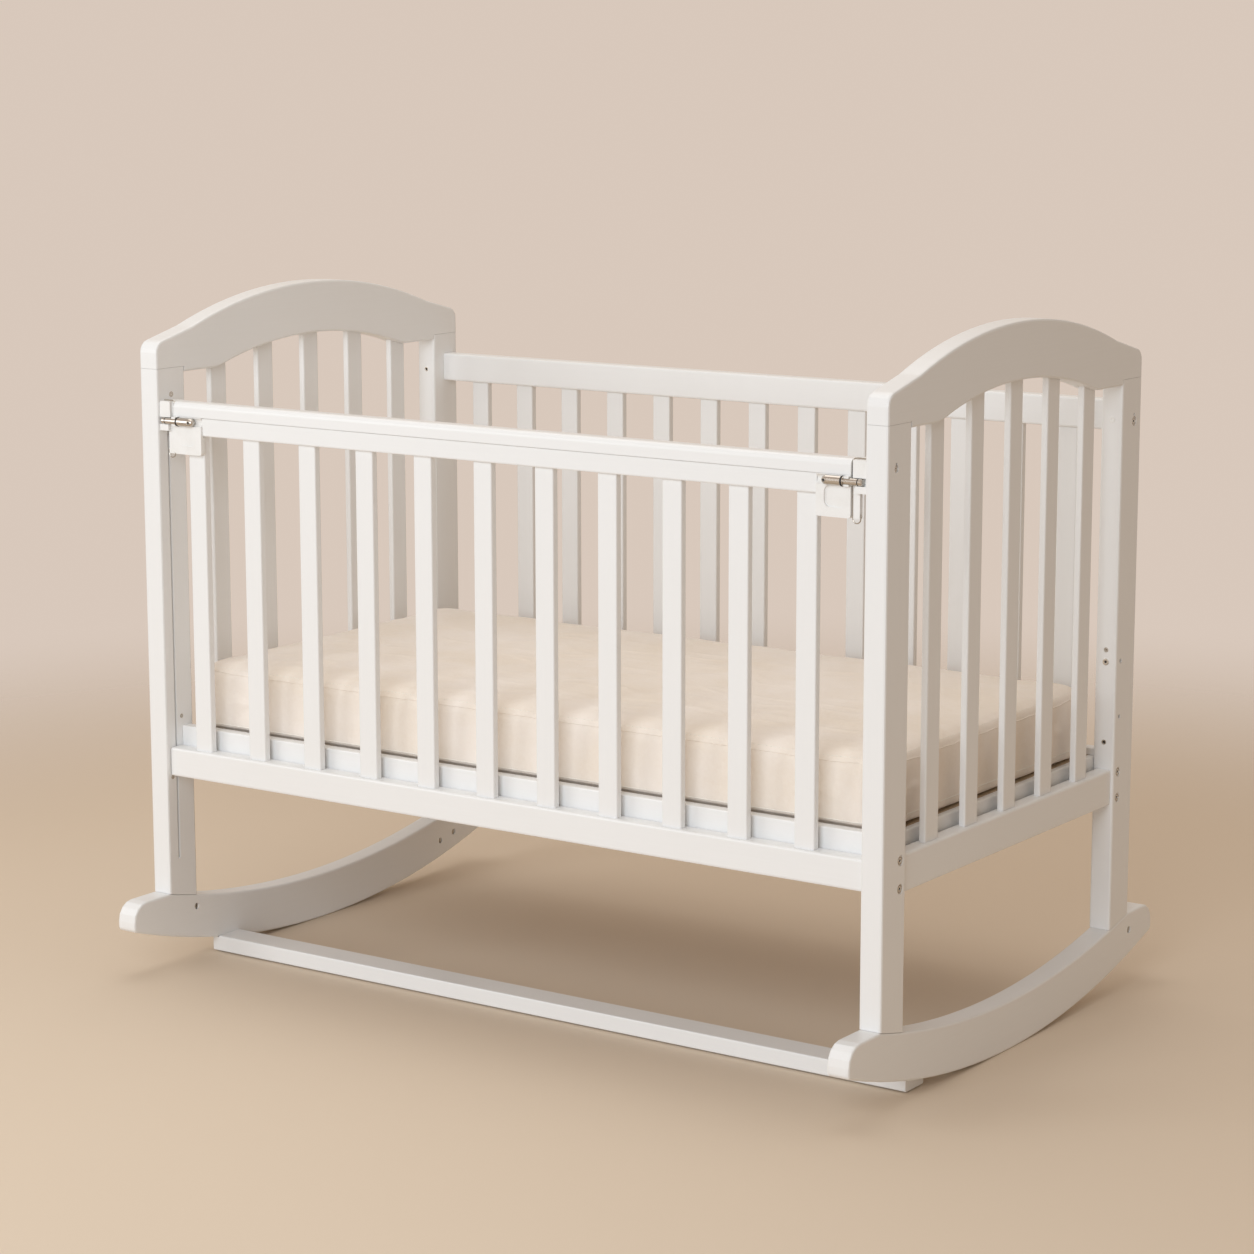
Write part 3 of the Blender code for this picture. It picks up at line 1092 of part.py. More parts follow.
def make_mattress():
    """A cushion with a crowned top, sides that draw in between its corners, and rounded edges."""
    half_x, half_y = MATTRESS_HALF_X, MATTRESS_HALF_Y
    ring = mattress_outline(half_x, half_y, MATTRESS_CORNER)
    edge = MATTRESS_EDGE
    side_height = MATTRESS_THICKNESS - 2 * edge
    levels = []
    for step in range(ROUND_STEPS + 1):
        angle = math.pi / 2 * step / ROUND_STEPS
        levels.append((edge * (1 - math.sin(angle)), edge * (1 - math.cos(angle)), 0.0))
    levels.append((0.0, edge + side_height / 2, 1.0))
    for step in range(ROUND_STEPS + 1):
        angle = math.pi / 2 * step / ROUND_STEPS
        inset = edge * (1 - math.cos(angle))
        levels.append((inset, MATTRESS_THICKNESS - edge + edge * math.sin(angle), 0.0))
    for share in MATTRESS_TOP_SHARES:
        levels.append((edge + share * (half_y - edge), MATTRESS_THICKNESS, 0.0))
    shape = bmesh.new()
    rows = []
    for inset, z, waist in levels:
        row = []
        for point, corner_share in ring:
            spot = shrink(point, inset, half_x, half_y)
            pull = waist * MATTRESS_DRAW_IN * (1 - corner_share * corner_share)
            spot = shrink(spot, pull, half_x, half_y)
            row.append(shape.verts.new((spot.x, spot.y, z + crown(spot, inset, half_x, half_y))))
        rows.append(row)
    for lower, upper in zip(rows, rows[1:]):
        for index in range(len(lower)):
            after = (index + 1) % len(lower)
            shape.faces.new((lower[index], lower[after], upper[after], upper[index]))
    shape.faces.new(list(reversed(rows[0])))
    centre = []
    for x in (half_y - half_x, half_x - half_y):
        z = MATTRESS_THICKNESS + crown(Vector((x, 0)), half_y, half_x, half_y)
        centre.append(shape.verts.new((x, 0, z)))
    close_top(shape, rows[-1], centre)
    bmesh.ops.recalc_face_normals(shape, faces=shape.faces)
    place("mattress", finished(shape), (0, 0, MATTRESS_BOTTOM), CRIB, COTTON)


def shrink(point, inset, half_x, half_y):
    """Move a point of the outline inwards by an inset on both axes."""
    return Vector((point.x * (half_x - inset) / half_x, point.y * (half_y - inset) / half_y))


def fade(share):
    """One in the middle, flat there, and nothing at the edge, where the share is one."""
    squared = share * share
    return 1 - squared * squared


def crown(spot, inset, half_x, half_y):
    """How far the top rises above its edge at a spot, with soft waves along the bed."""
    if inset < MATTRESS_EDGE:
        return 0.0
    swell = fade(spot.x / half_x) * fade(spot.y / half_y)
    wave = math.cos(MATTRESS_TUFT_COUNT * math.pi * spot.x / half_x) * math.cos(math.pi * spot.y / half_y)
    return MATTRESS_CROWN * swell + MATTRESS_TUFT_DEPTH * wave * swell


def close_top(shape, ring, centre):
    """Fill the last ring of the mattress with faces to two middle points."""
    left, right = centre
    count = len(ring)
    for index, vert in enumerate(ring):
        after = ring[(index + 1) % count]
        target = right if vert.co.x + after.co.x > 0 else left
        shape.faces.new((vert, after, target))
        before = ring[index - 1]
        earlier = right if vert.co.x + before.co.x > 0 else left
        if earlier is not target:
            shape.faces.new((vert, target, earlier))


def make_stop_bar():
    """The bar that stops the rocking, its ends cut to lie under the rockers, and its glides."""
    size = (2 * STOP_BAR_HALF, STOP_BAR_WIDTH, STOP_BAR_HEIGHT)
    at = (0, STOP_BAR_Y, STOP_BAR_BOTTOM + STOP_BAR_HEIGHT / 2)
    bar = place("stop_bar", box_mesh(size, "X", STOP_BAR_ROUND), at, CRIB, WHITE_PAINT)
    reach = STOP_BAR_WIDTH / 2 + CUT_OVERRUN
    top = STOP_BAR_SOLE_HEIGHT + STOP_BAR_HEIGHT
    across = evenly_spaced(STOP_BAR_Y - reach, STOP_BAR_Y + reach, SOLE_CUT_STEPS + 1)
    corners = [(y, arc_fall(ROCKER_SOLE_RADIUS, y) - JOINT_GAP) for y in across]
    corners += [(STOP_BAR_Y + reach, top), (STOP_BAR_Y - reach, top)]
    lap = outline_mesh(corners, ROCKER_THICKNESS + 2 * JOINT_GAP)
    rocker_x = HALF_X - ROCKER_THICKNESS / 2
    laps = joined_mesh([(lap, (side * rocker_x, 0, 0)) for side in (LEFT, RIGHT)])
    cut(bar, laps, (0, 0, 0), "rocker_laps")
    height = GLIDE_HEIGHT - JOINT_GAP
    for side, word in SIDES:
        mesh = rod_mesh(GLIDE_DIAMETER / 2, height, ALONG_Z)
        x = side * (STOP_BAR_HALF - GLIDE_END_DISTANCE)
        place(f"bar_glide_{word}", mesh, (x, STOP_BAR_Y, height / 2), CRIB, CLEAR_PAD)


def axis_empty(name, at, parent=None):
    """An empty on the line that a moving body slides along."""
    empty = bpy.data.objects.new(name, None)
    CRIB.objects.link(empty)
    empty.location = Vector(at)
    if parent is not None:
        empty.parent = parent
        empty.location = Vector(at) - parent.location
    return empty


SIDES = ((LEFT, "left"), (RIGHT, "right"))
clear_scene()
CRIB = new_collection("rocking_crib")
CUTTERS = new_collection("cutters")
ROCKER_SEAT = as_cutter(place("rocker_seat_cutter", rocker_seat_mesh(), (0, 0, 0), CUTTERS))


def main():
    """Build the crib, sub-assembly by sub-assembly."""
    for side, word in SIDES:
        make_rocker(side, f"rocker_{word}")
        make_post(side, FRONT, f"post_front_{word}")
        make_post(side, BACK, f"post_back_{word}")
        make_arch(side, f"arch_{word}")
        make_end_rail(side, f"end_rail_{word}")
        make_end_slats(side, f"end_slat_{word}")
        make_keeper(side, f"latch_keeper_{word}")
    make_back()
    slide = axis_empty("drop_side_axis", (0, -SIDE_Y, LOWER_RAIL_BOTTOM))
    make_drop_side(slide)
    for side, word in SIDES:
        make_latch_housing(side, f"latch_housing_{word}", slide)
        make_latch_bolt(side, f"latch_bolt_{word}", slide)
    make_base_boards()
    make_base_panel()
    make_mattress()
    make_stop_bar()


main()
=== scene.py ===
"""Finishes and soft parts of a rocking crib with a drop side.

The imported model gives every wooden, plastic and metal part its shape. This script gives them their
paint, plastic and nickel, sews the mattress, and adds the small fasteners and rings.
"""
import logging
import math
from dataclasses import dataclass, field
from enum import Enum
from typing import Any, Callable, Mapping, Sequence, Union

import bmesh
import bpy
from mathutils import Euler, Matrix, Vector, noise
from mathutils.bvhtree import BVHTree


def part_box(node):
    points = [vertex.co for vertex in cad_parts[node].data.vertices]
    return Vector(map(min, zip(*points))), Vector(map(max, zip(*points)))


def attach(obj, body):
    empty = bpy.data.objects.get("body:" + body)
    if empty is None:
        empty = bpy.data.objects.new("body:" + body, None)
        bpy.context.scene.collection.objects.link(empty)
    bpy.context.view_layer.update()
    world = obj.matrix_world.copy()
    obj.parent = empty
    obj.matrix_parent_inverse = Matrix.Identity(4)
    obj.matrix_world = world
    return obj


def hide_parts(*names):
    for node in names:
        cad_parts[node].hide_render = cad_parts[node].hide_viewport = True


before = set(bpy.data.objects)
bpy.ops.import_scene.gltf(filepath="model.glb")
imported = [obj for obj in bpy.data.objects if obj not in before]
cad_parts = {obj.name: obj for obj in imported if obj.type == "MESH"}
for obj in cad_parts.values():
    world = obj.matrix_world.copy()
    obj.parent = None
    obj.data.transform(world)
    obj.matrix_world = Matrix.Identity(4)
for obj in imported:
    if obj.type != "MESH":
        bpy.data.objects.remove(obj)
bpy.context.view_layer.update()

logging.basicConfig(level=logging.INFO, format="%(message)s")
log = logging.getLogger("rocking_crib")

Colour = tuple[float, float, float]
Settings = Mapping[str, Any]
Value = Union["Wire", float, Sequence[float]]
FaceTest = Callable[[bpy.types.MeshPolygon], bool]

AHEAD = Vector((0, -1, 0))
UP = Vector((0, 0, 1))
RIGHTWARD = Vector((1, 0, 0))
TINY = 1e-6
HAIR = 1e-5
NOT_ZERO = 1e-9
SQUARE_ON = 0.99
ROUNDED_ABOVE = math.radians(40)
SMOOTH_BELOW = math.radians(35)
SHARP_ABOVE = math.radians(60)


class Side(Enum):
    """The two ends of the crib, with the sign of their x."""

    LEFT = -1
    RIGHT = 1

    @property
    def word(self) -> str:
        """The side's name as the nodes spell it."""
        return self.name.lower()

    @property
    def outward(self) -> Vector:
        """The direction away from the bed at this end."""
        return self.value * RIGHTWARD

    @property
    def turn_out(self) -> float:
        """The turn about Z that makes +X look away from the bed."""
        return 0.0 if self is Side.RIGHT else math.pi

    @property
    def turn_in(self) -> float:
        """The turn about Z that makes +X look at the bed."""
        return math.pi - self.turn_out

    def outer_x(self, low: Vector, high: Vector) -> float:
        """The x of a box's face that looks away from the bed."""
        return high.x if self is Side.RIGHT else low.x

    def inner_x(self, low: Vector, high: Vector) -> float:
        """The x of a box's face that looks at the bed."""
        return low.x if self is Side.RIGHT else high.x


class Grain(Enum):
    """The way the wood runs under the paint."""

    ALONG_X = "x"
    ALONG_Y = "y"
    ALONG_Z = "z"
    SLATS_ON_RAIL = "slats_on_rail"


# ---------------------------------------------------------------- shader building


@dataclass
class Wire:
    """A socket of a node tree that takes part in sums."""

    graph: "ShaderGraph"
    node: bpy.types.Node
    socket: bpy.types.NodeSocket

    def also(self, output: Union[str, int]) -> "Wire":
        """Another output of the same node."""
        return Wire(self.graph, self.node, self.node.outputs[output])

    def _math(self, operation: str, first: Value, second: Value, clamp: bool = False) -> "Wire":
        """One Math node on two operands.

        Args:
            operation: The node's operation.
            first: The first operand.
            second: The second operand.
            clamp: Whether the result is held between 0 and 1.

        Returns:
            The result.
        """
        settings = {"operation": operation, "use_clamp": clamp}
        return self.graph.node("ShaderNodeMath", settings, {0: first, 1: second})

    def __add__(self, other: Value) -> "Wire":
        """Sum."""
        return self._math("ADD", self, other)

    __radd__ = __add__

    def __sub__(self, other: Value) -> "Wire":
        """Difference."""
        return self._math("SUBTRACT", self, other)

    def __rsub__(self, other: Value) -> "Wire":
        """Difference from a number."""
        return self._math("SUBTRACT", other, self)

    def __mul__(self, other: Value) -> "Wire":
        """Product."""
        return self._math("MULTIPLY", self, other)

    __rmul__ = __mul__

    def clamped(self) -> "Wire":
        """The value held between 0 and 1."""
        return self._math("ADD", self, 0.0, clamp=True)

    def magnitude(self) -> "Wire":
        """The value without its sign."""
        return self._math("ABSOLUTE", self, 0.0)

    def ramp(self, low: float, high: float) -> "Wire":
        """A smooth step over the value.

        Args:
            low: The value at which the step leaves 0.
            high: The value at which it reaches 1.

        Returns:
            The step.
        """
        settings = {"interpolation_type": "SMOOTHSTEP"}
        inputs = {"Value": self, "From Min": low, "From Max": high, "To Min": 0.0, "To Max": 1.0}
        return self.graph.node("ShaderNodeMapRange", settings, inputs)


class ShaderGraph:
    """A material or a world, and the node tree that makes its look."""

    def __init__(self, owner: Union[str, bpy.types.World]) -> None:
        """Start an empty tree.

        Args:
            owner: The name of a new material, or a world.
        """
        self.owner = bpy.data.materials.new(owner) if isinstance(owner, str) else owner
        self.owner.use_nodes = True
        self.tree = self.owner.node_tree
        self.tree.nodes.clear()

    def node(self, kind: str, settings: Settings, inputs: Mapping[Any, Value], output: Any = 0) -> Wire:
        """Add a node.

        Args:
            kind: The node's type.
            settings: Its settings, set before the sockets.
            inputs: Values or wires for its input sockets, by name or number.
            output: The output that the wire stands for.

        Returns:
            The wire from that output.
        """
        made = self.tree.nodes.new(kind)
        for key, value in settings.items():
            setattr(made, key, value)
        for key, value in inputs.items():
            self._feed(made.inputs[key], value)
        return Wire(self, made, made.outputs[output] if len(made.outputs) else None)

    def _feed(self, socket: bpy.types.NodeSocket, value: Value) -> None:
        """Link a wire to a socket, or set the socket's own value.

        Args:
            socket: The input socket.
            value: The wire, number or vector that it gets.
        """
        if isinstance(value, Wire):
            self.tree.links.new(value.socket, socket)
        elif socket.type == "RGBA" and len(value) == 3:
            socket.default_value = (*value, 1.0)
        else:
            socket.default_value = value

    def place(self) -> Wire:
        """Object coordinates, which are metres of the crib."""
        return self.node("ShaderNodeTexCoord", {}, {}, "Object")

    def axes(self, vector: Wire) -> tuple[Wire, Wire, Wire]:
        """The three parts of a vector."""
        first = self.node("ShaderNodeSeparateXYZ", {}, {"Vector": vector})
        return first, first.also(1), first.also(2)

    def noise(self, vector: Wire, scale: float, detail: float = 2.0, roughness: float = 0.5) -> Wire:
        """A noise texture, about 0.5 on average."""
        inputs = {"Vector": vector, "Scale": scale, "Detail": detail, "Roughness": roughness}
        return self.node("ShaderNodeTexNoise", {}, inputs)

    def stretched(self, vector: Wire, scale: Sequence[float]) -> Wire:
        """Coordinates scaled along each axis."""
        return self.node("ShaderNodeMapping", {}, {"Vector": vector, "Scale": scale})

    def mix(self, factor: Value, first: Value, second: Value) -> Wire:
        """A blend of two colours."""
        return self.node("ShaderNodeMix", {"data_type": "RGBA"}, {0: factor, 6: first, 7: second}, 2)

    def bump(self, height: Wire, strength: float, distance: float) -> Wire:
        """A normal from a height."""
        inputs = {"Strength": strength, "Distance": distance, "Height": height}
        return self.node("ShaderNodeBump", {}, inputs)

    def finish(self, sockets: Mapping[str, Value]) -> bpy.types.Material:
        """Close the tree with a Principled shader.

        Args:
            sockets: Values or wires of the shader's inputs.

        Returns:
            The finished material.
        """
        shader = self.node("ShaderNodeBsdfPrincipled", {}, sockets)
        self.node("ShaderNodeOutputMaterial", {}, {"Surface": shader})
        return self.owner


# ---------------------------------------------------------------- finishes


@dataclass(frozen=True)
class Relief:
    """How strongly a finish's texture stands out, and how deep it is in metres."""

    strength: float
    depth: float

    def normal(self, graph: ShaderGraph, height: Wire) -> Wire:
        """The normal that a height gives in a material's graph."""
        return graph.bump(height, self.strength, self.depth)


@dataclass(frozen=True)
class SatinPaint:
    """Satin white paint on planed beech."""

    colour: Colour = (0.83, 0.83, 0.825)
    thin_colour: Colour = (0.795, 0.79, 0.775)
    # Edge colour: partly rubbed wear, partly painted shade on the edges.
    edge_colour: Colour = (0.70, 0.67, 0.62)
    roughness: float = 0.34
    fibre_pitch: float = 0.0022
    fibre_length: float = 0.12
    peel_scale: float = 700.0
    cloud_scale: float = 5.0
    edge_reach: float = 0.0016
    rail_top: float = 0.340
    rail_blur: float = 0.0005
    fibre_share: float = 0.55
    cloud_share: float = 0.60
    thick_share: float = 0.32
    wear_from: float = 0.42
    wear_to: float = 0.75
    wear: float = 0.5
    fibre_rough: float = 0.10
    cloud_rough: float = 0.08
    fibre_height: float = 0.70
    peel_height: float = 0.35
    edge_gain: float = 5.0
    specular: float = 0.45
    relief: Relief = Relief(0.22, 0.0005)

    def fibres(self, graph: ShaderGraph, place: Wire, axis: str) -> Wire:
        """Long faint fibres.

        Args:
            graph: The material that gets them.
            place: Its Object coordinates.
            axis: The axis that they run along.

        Returns:
            Their height.
        """
        scale = [1 / self.fibre_pitch] * 3
        scale["xyz".index(axis)] = 1 / self.fibre_length
        return graph.noise(graph.stretched(place, scale), 1.0, detail=3.0, roughness=0.6)

    def material(self, grain: Grain) -> bpy.types.Material:
        """The paint over wood that runs one way.

        Args:
            grain: The way the wood runs.

        Returns:
            The material.
        """
        graph = ShaderGraph(f"satin_paint_{grain.value}")
        place = graph.place()
        if grain is Grain.SLATS_ON_RAIL:
            height = graph.axes(place)[2]
            on_slats = height.ramp(self.rail_top - self.rail_blur, self.rail_top + self.rail_blur)
            upright = self.fibres(graph, place, "z")
            level = self.fibres(graph, place, "x")
            fibre = on_slats * upright + (1 - on_slats) * level
        else:
            fibre = self.fibres(graph, place, grain.value)
        cloud = graph.noise(place, self.cloud_scale, detail=3.0)
        peel = graph.noise(place, self.peel_scale, detail=1.0)
        thin = (fibre * self.fibre_share + cloud * self.cloud_share - self.thick_share).clamped()
        colour = graph.mix(thin, self.colour, self.thin_colour)
        # Darker tint on the edges: rubbed wear together with painted edge shade.
        worn_and_shaded = self.edges(graph) * cloud.ramp(self.wear_from, self.wear_to) * self.wear
        colour = graph.mix(worn_and_shaded, colour, self.edge_colour)
        height = fibre * self.fibre_height + peel * self.peel_height
        rough = (fibre - 0.5) * self.fibre_rough + (cloud - 0.5) * self.cloud_rough
        return graph.finish({
            "Base Color": colour,
            "Roughness": self.roughness + rough,
            "Normal": self.relief.normal(graph, height),
            "Specular IOR Level": self.specular,
        })

    def edges(self, graph: ShaderGraph) -> Wire:
        """The rounded edges, where hands rub the paint and where shade is painted on.

        Args:
            graph: The material.

        Returns:
            1 on the edges, 0 elsewhere.
        """
        soft = graph.node("ShaderNodeBevel", {"samples": 4}, {"Radius": self.edge_reach})
        hard = graph.node("ShaderNodeNewGeometry", {}, {}, "True Normal")
        inputs = {0: soft, 1: hard}
        same = graph.node("ShaderNodeVectorMath", {"operation": "DOT_PRODUCT"}, inputs, "Value")
        return ((1 - same) * self.edge_gain).clamped()


@dataclass(frozen=True)
class MouldedPlastic:
    """White moulded plastic of the latches, with a fine spark-eroded texture."""

    colour: Colour = (0.85, 0.845, 0.83)
    shade: Colour = (0.80, 0.79, 0.765)
    roughness: float = 0.28
    texture_scale: float = 1400.0
    flow_scale: float = 45.0
    shade_from: float = 0.3
    shade_to: float = 0.8
    grit_rough: float = 0.12
    flow_rough: float = 0.06
    coat: float = 0.15
    coat_roughness: float = 0.12
    relief: Relief = Relief(0.12, 0.0003)

    def material(self) -> bpy.types.Material:
        """Make the plastic's material.

        Returns:
            The material.
        """
        graph = ShaderGraph("moulded_plastic")
        place = graph.place()
        flow = graph.noise(place, self.flow_scale)
        grit = graph.noise(place, self.texture_scale, detail=1.0)
        shaded = flow.ramp(self.shade_from, self.shade_to)
        rough = (grit - 0.5) * self.grit_rough + (flow - 0.5) * self.flow_rough
        return graph.finish({
            "Base Color": graph.mix(shaded, self.colour, self.shade),
            "Roughness": self.roughness + rough,
            "Normal": self.relief.normal(graph, grit + flow * 2.0),
            "Coat Weight": self.coat,
            "Coat Roughness": self.coat_roughness,
        })


@dataclass(frozen=True)
class BrushedNickel:
    """Nickel plate, drawn along one axis."""

    axis: str = "x"
    name: str = "brushed_nickel"
    colour: Colour = (0.56, 0.525, 0.48)
    dull_colour: Colour = (0.40, 0.37, 0.33)
    roughness: float = 0.20
    line_pitch: float = 0.00035
    line_length: float = 0.012
    spot_scale: float = 260.0
    dull_from: float = 0.55
    dull_to: float = 0.80
    dullness: float = 0.6
    line_rough: float = 0.16
    dull_rough: float = 0.15
    relief: Relief = Relief(0.10, 0.0002)

    def material(self) -> bpy.types.Material:
        """Make the plate's material.

        Returns:
            The material.
        """
        graph = ShaderGraph(f"{self.name}_{self.axis}")
        place = graph.place()
        scale = [1 / self.line_pitch] * 3
        scale["xyz".index(self.axis)] = 1 / self.line_length
        lines = graph.noise(graph.stretched(place, scale), 1.0)
        spots = graph.noise(place, self.spot_scale, detail=3.0, roughness=0.65)
        dull = spots.ramp(self.dull_from, self.dull_to) * self.dullness
        return graph.finish({
            "Base Color": graph.mix(dull, self.colour, self.dull_colour),
            "Metallic": 1.0,
            "Roughness": self.roughness + (lines - 0.5) * self.line_rough + dull * self.dull_rough,
            "Normal": self.relief.normal(graph, lines),
        })


@dataclass(frozen=True)
class CottonCover:
    """Cream cotton, in plain weave over foam."""

    colour: Colour = (0.885, 0.812, 0.748)
    warm_colour: Colour = (0.83, 0.735, 0.63)
    pale_colour: Colour = (0.92, 0.865, 0.79)
    thread_pitch: float = 0.0011
    slub_scale: float = 160.0
    cloud_scale: float = 7.0
    crease_scale: float = 22.0
    wobble_scale: float = 70.0
    wobble: float = 7.0
    cloud_from: float = 0.30
    cloud_to: float = 0.72
    slub_floor: float = 0.35
    slub_share: float = 0.8
    gap_share: float = 0.18
    thread_height: float = 0.10
    slub_height: float = 0.25
    crease_height: float = 1.6
    slub_rough: float = 0.08
    roughness: float = 0.88
    sheen: float = 0.25
    sheen_roughness: float = 0.4
    specular: float = 0.2
    relief: Relief = Relief(0.45, 0.0016)

    def threads(self, graph: ShaderGraph, place: Wire) -> Wire:
        """Threads that cross at right angles on every face of the cushion.

        Args:
            graph: The material.
            place: Its Object coordinates.

        Returns:
            The height of the threads.
        """
        wobble = graph.noise(place, self.wobble_scale) * self.wobble
        normal = graph.node("ShaderNodeNewGeometry", {}, {}, "Normal")
        total: Union[Wire, None] = None
        for position, slope in zip(graph.axes(place), graph.axes(normal)):
            phase = position * (math.tau / self.thread_pitch) + wobble
            wave = graph.node("ShaderNodeMath", {"operation": "SINE"}, {0: phase})
            row = (1 - slope.magnitude()).clamped() * (wave * 0.5 + 0.5)
            total = row if total is None else total + row
        return total * 0.5

    def material(self) -> bpy.types.Material:
        """Make the cover's material.

        Returns:
            The material.
        """
        graph = ShaderGraph("cotton_cover")
        place = graph.place()
        thread = self.threads(graph, place)
        slub = graph.noise(place, self.slub_scale, detail=3.0, roughness=0.7)
        cloud = graph.noise(place, self.cloud_scale, detail=4.0, roughness=0.6)
        crease = graph.noise(place, self.crease_scale, detail=4.0, roughness=0.6)
        clouded = cloud.ramp(self.cloud_from, self.cloud_to)
        slubbed = (slub - self.slub_floor).clamped() * self.slub_share
        colour = graph.mix(clouded, self.colour, self.warm_colour)
        colour = graph.mix(slubbed, colour, self.pale_colour)
        colour = graph.mix((1 - thread) * self.gap_share, colour, self.warm_colour)
        height = thread * self.thread_height + slub * self.slub_height + crease * self.crease_height
        return graph.finish({
            "Base Color": colour,
            "Roughness": self.roughness + (slub - 0.5) * self.slub_rough,
            "Normal": self.relief.normal(graph, height),
            "Sheen Weight": self.sheen,
            "Sheen Roughness": self.sheen_roughness,
            "Specular IOR Level": self.specular,
        })


@dataclass(frozen=True)
class PressedBoard:
    """Bare pressed board under the mattress."""

    colour: Colour = (0.52, 0.40, 0.27)
    dark_colour: Colour = (0.36, 0.26, 0.17)
    roughness: float = 0.62
    chip_scale: float = 180.0
    cloud_scale: float = 6.0
    chip_from: float = 0.35
    chip_to: float = 0.7
    chip_share: float = 0.8
    cloud_rough: float = 0.1
    relief: Relief = Relief(0.25, 0.0004)

    def material(self) -> bpy.types.Material:
        """Make the board's material.

        Returns:
            The material.
        """
        graph = ShaderGraph("pressed_board")
        place = graph.place()
        chips = graph.noise(place, self.chip_scale, detail=4.0, roughness=0.7)
        cloud = graph.noise(place, self.cloud_scale)
        chipped = chips.ramp(self.chip_from, self.chip_to) * self.chip_share
        return graph.finish({
            "Base Color": graph.mix(chipped, self.colour, self.dark_colour),
            "Roughness": self.roughness + (cloud - 0.5) * self.cloud_rough,
            "Normal": self.relief.normal(graph, chips),
        })


@dataclass(frozen=True)
class PlainStuff:
    """A small part's own rubber or soft plastic, or the painted shade of a cavity."""

    name: str
    colour: Colour
    other_colour: Colour
    roughness: float
    scale: float = 900.0
    grit_from: float = 0.3
    grit_to: float = 0.75
    grit_rough: float = 0.15
    relief: Relief = Relief(0.15, 0.0002)

    def material(self) -> bpy.types.Material:
        """Make the stuff's material.

        Returns:
            The material.
        """
        graph = ShaderGraph(self.name)
        grit = graph.noise(graph.place(), self.scale)
        speckled = grit.ramp(self.grit_from, self.grit_to)
        return graph.finish({
            "Base Color": graph.mix(speckled, self.colour, self.other_colour),
            "Roughness": self.roughness + (grit - 0.5) * self.grit_rough,
            "Normal": self.relief.normal(graph, grit),
        })


class FinishRack:
    """All finishes of the crib, each made once."""

    def __init__(self) -> None:
        """Make every finish."""
        self.paint = {grain: SatinPaint().material(grain) for grain in Grain}
        self.nickel = BrushedNickel().material()
        self.aged = BrushedNickel(
            axis="y",
            name="aged_nickel",
            colour=(0.45, 0.41, 0.355),
            dull_colour=(0.24, 0.215, 0.18),
            roughness=0.28,
        ).material()
        self.zinc = BrushedNickel(
            axis="y",
            name="zinc_plate",
            colour=(0.60, 0.56, 0.50),
            dull_colour=(0.37, 0.335, 0.29),
            roughness=0.27,
        ).material()
        self.plastic = MouldedPlastic().material()
        self.cotton = CottonCover().material()
        self.board = PressedBoard().material()
        self.rubber = PlainStuff(
            name="black_rubber",
            colour=(0.012, 0.012, 0.012),
            other_colour=(0.03, 0.03, 0.03),
            roughness=0.55,
        ).material()
        self.pad = PlainStuff(
            name="soft_pad",
            colour=(0.70, 0.69, 0.66),
            other_colour=(0.62, 0.60, 0.57),
            roughness=0.45,
        ).material()
        self.thread = PlainStuff(
            name="sewing_thread",
            colour=(0.90, 0.86, 0.79),
            other_colour=(0.83, 0.78, 0.70),
            roughness=0.75,
            scale=2400.0,
        ).material()
        # Painted shade: a near-black finish for the insides of sockets, slots, bores and holes.
        self.recess = PlainStuff(
            name="dark_recess",
            colour=(0.03, 0.027, 0.024),
            other_colour=(0.055, 0.05, 0.045),
            roughness=0.8,
        ).material()


# ---------------------------------------------------------------- modelling bench


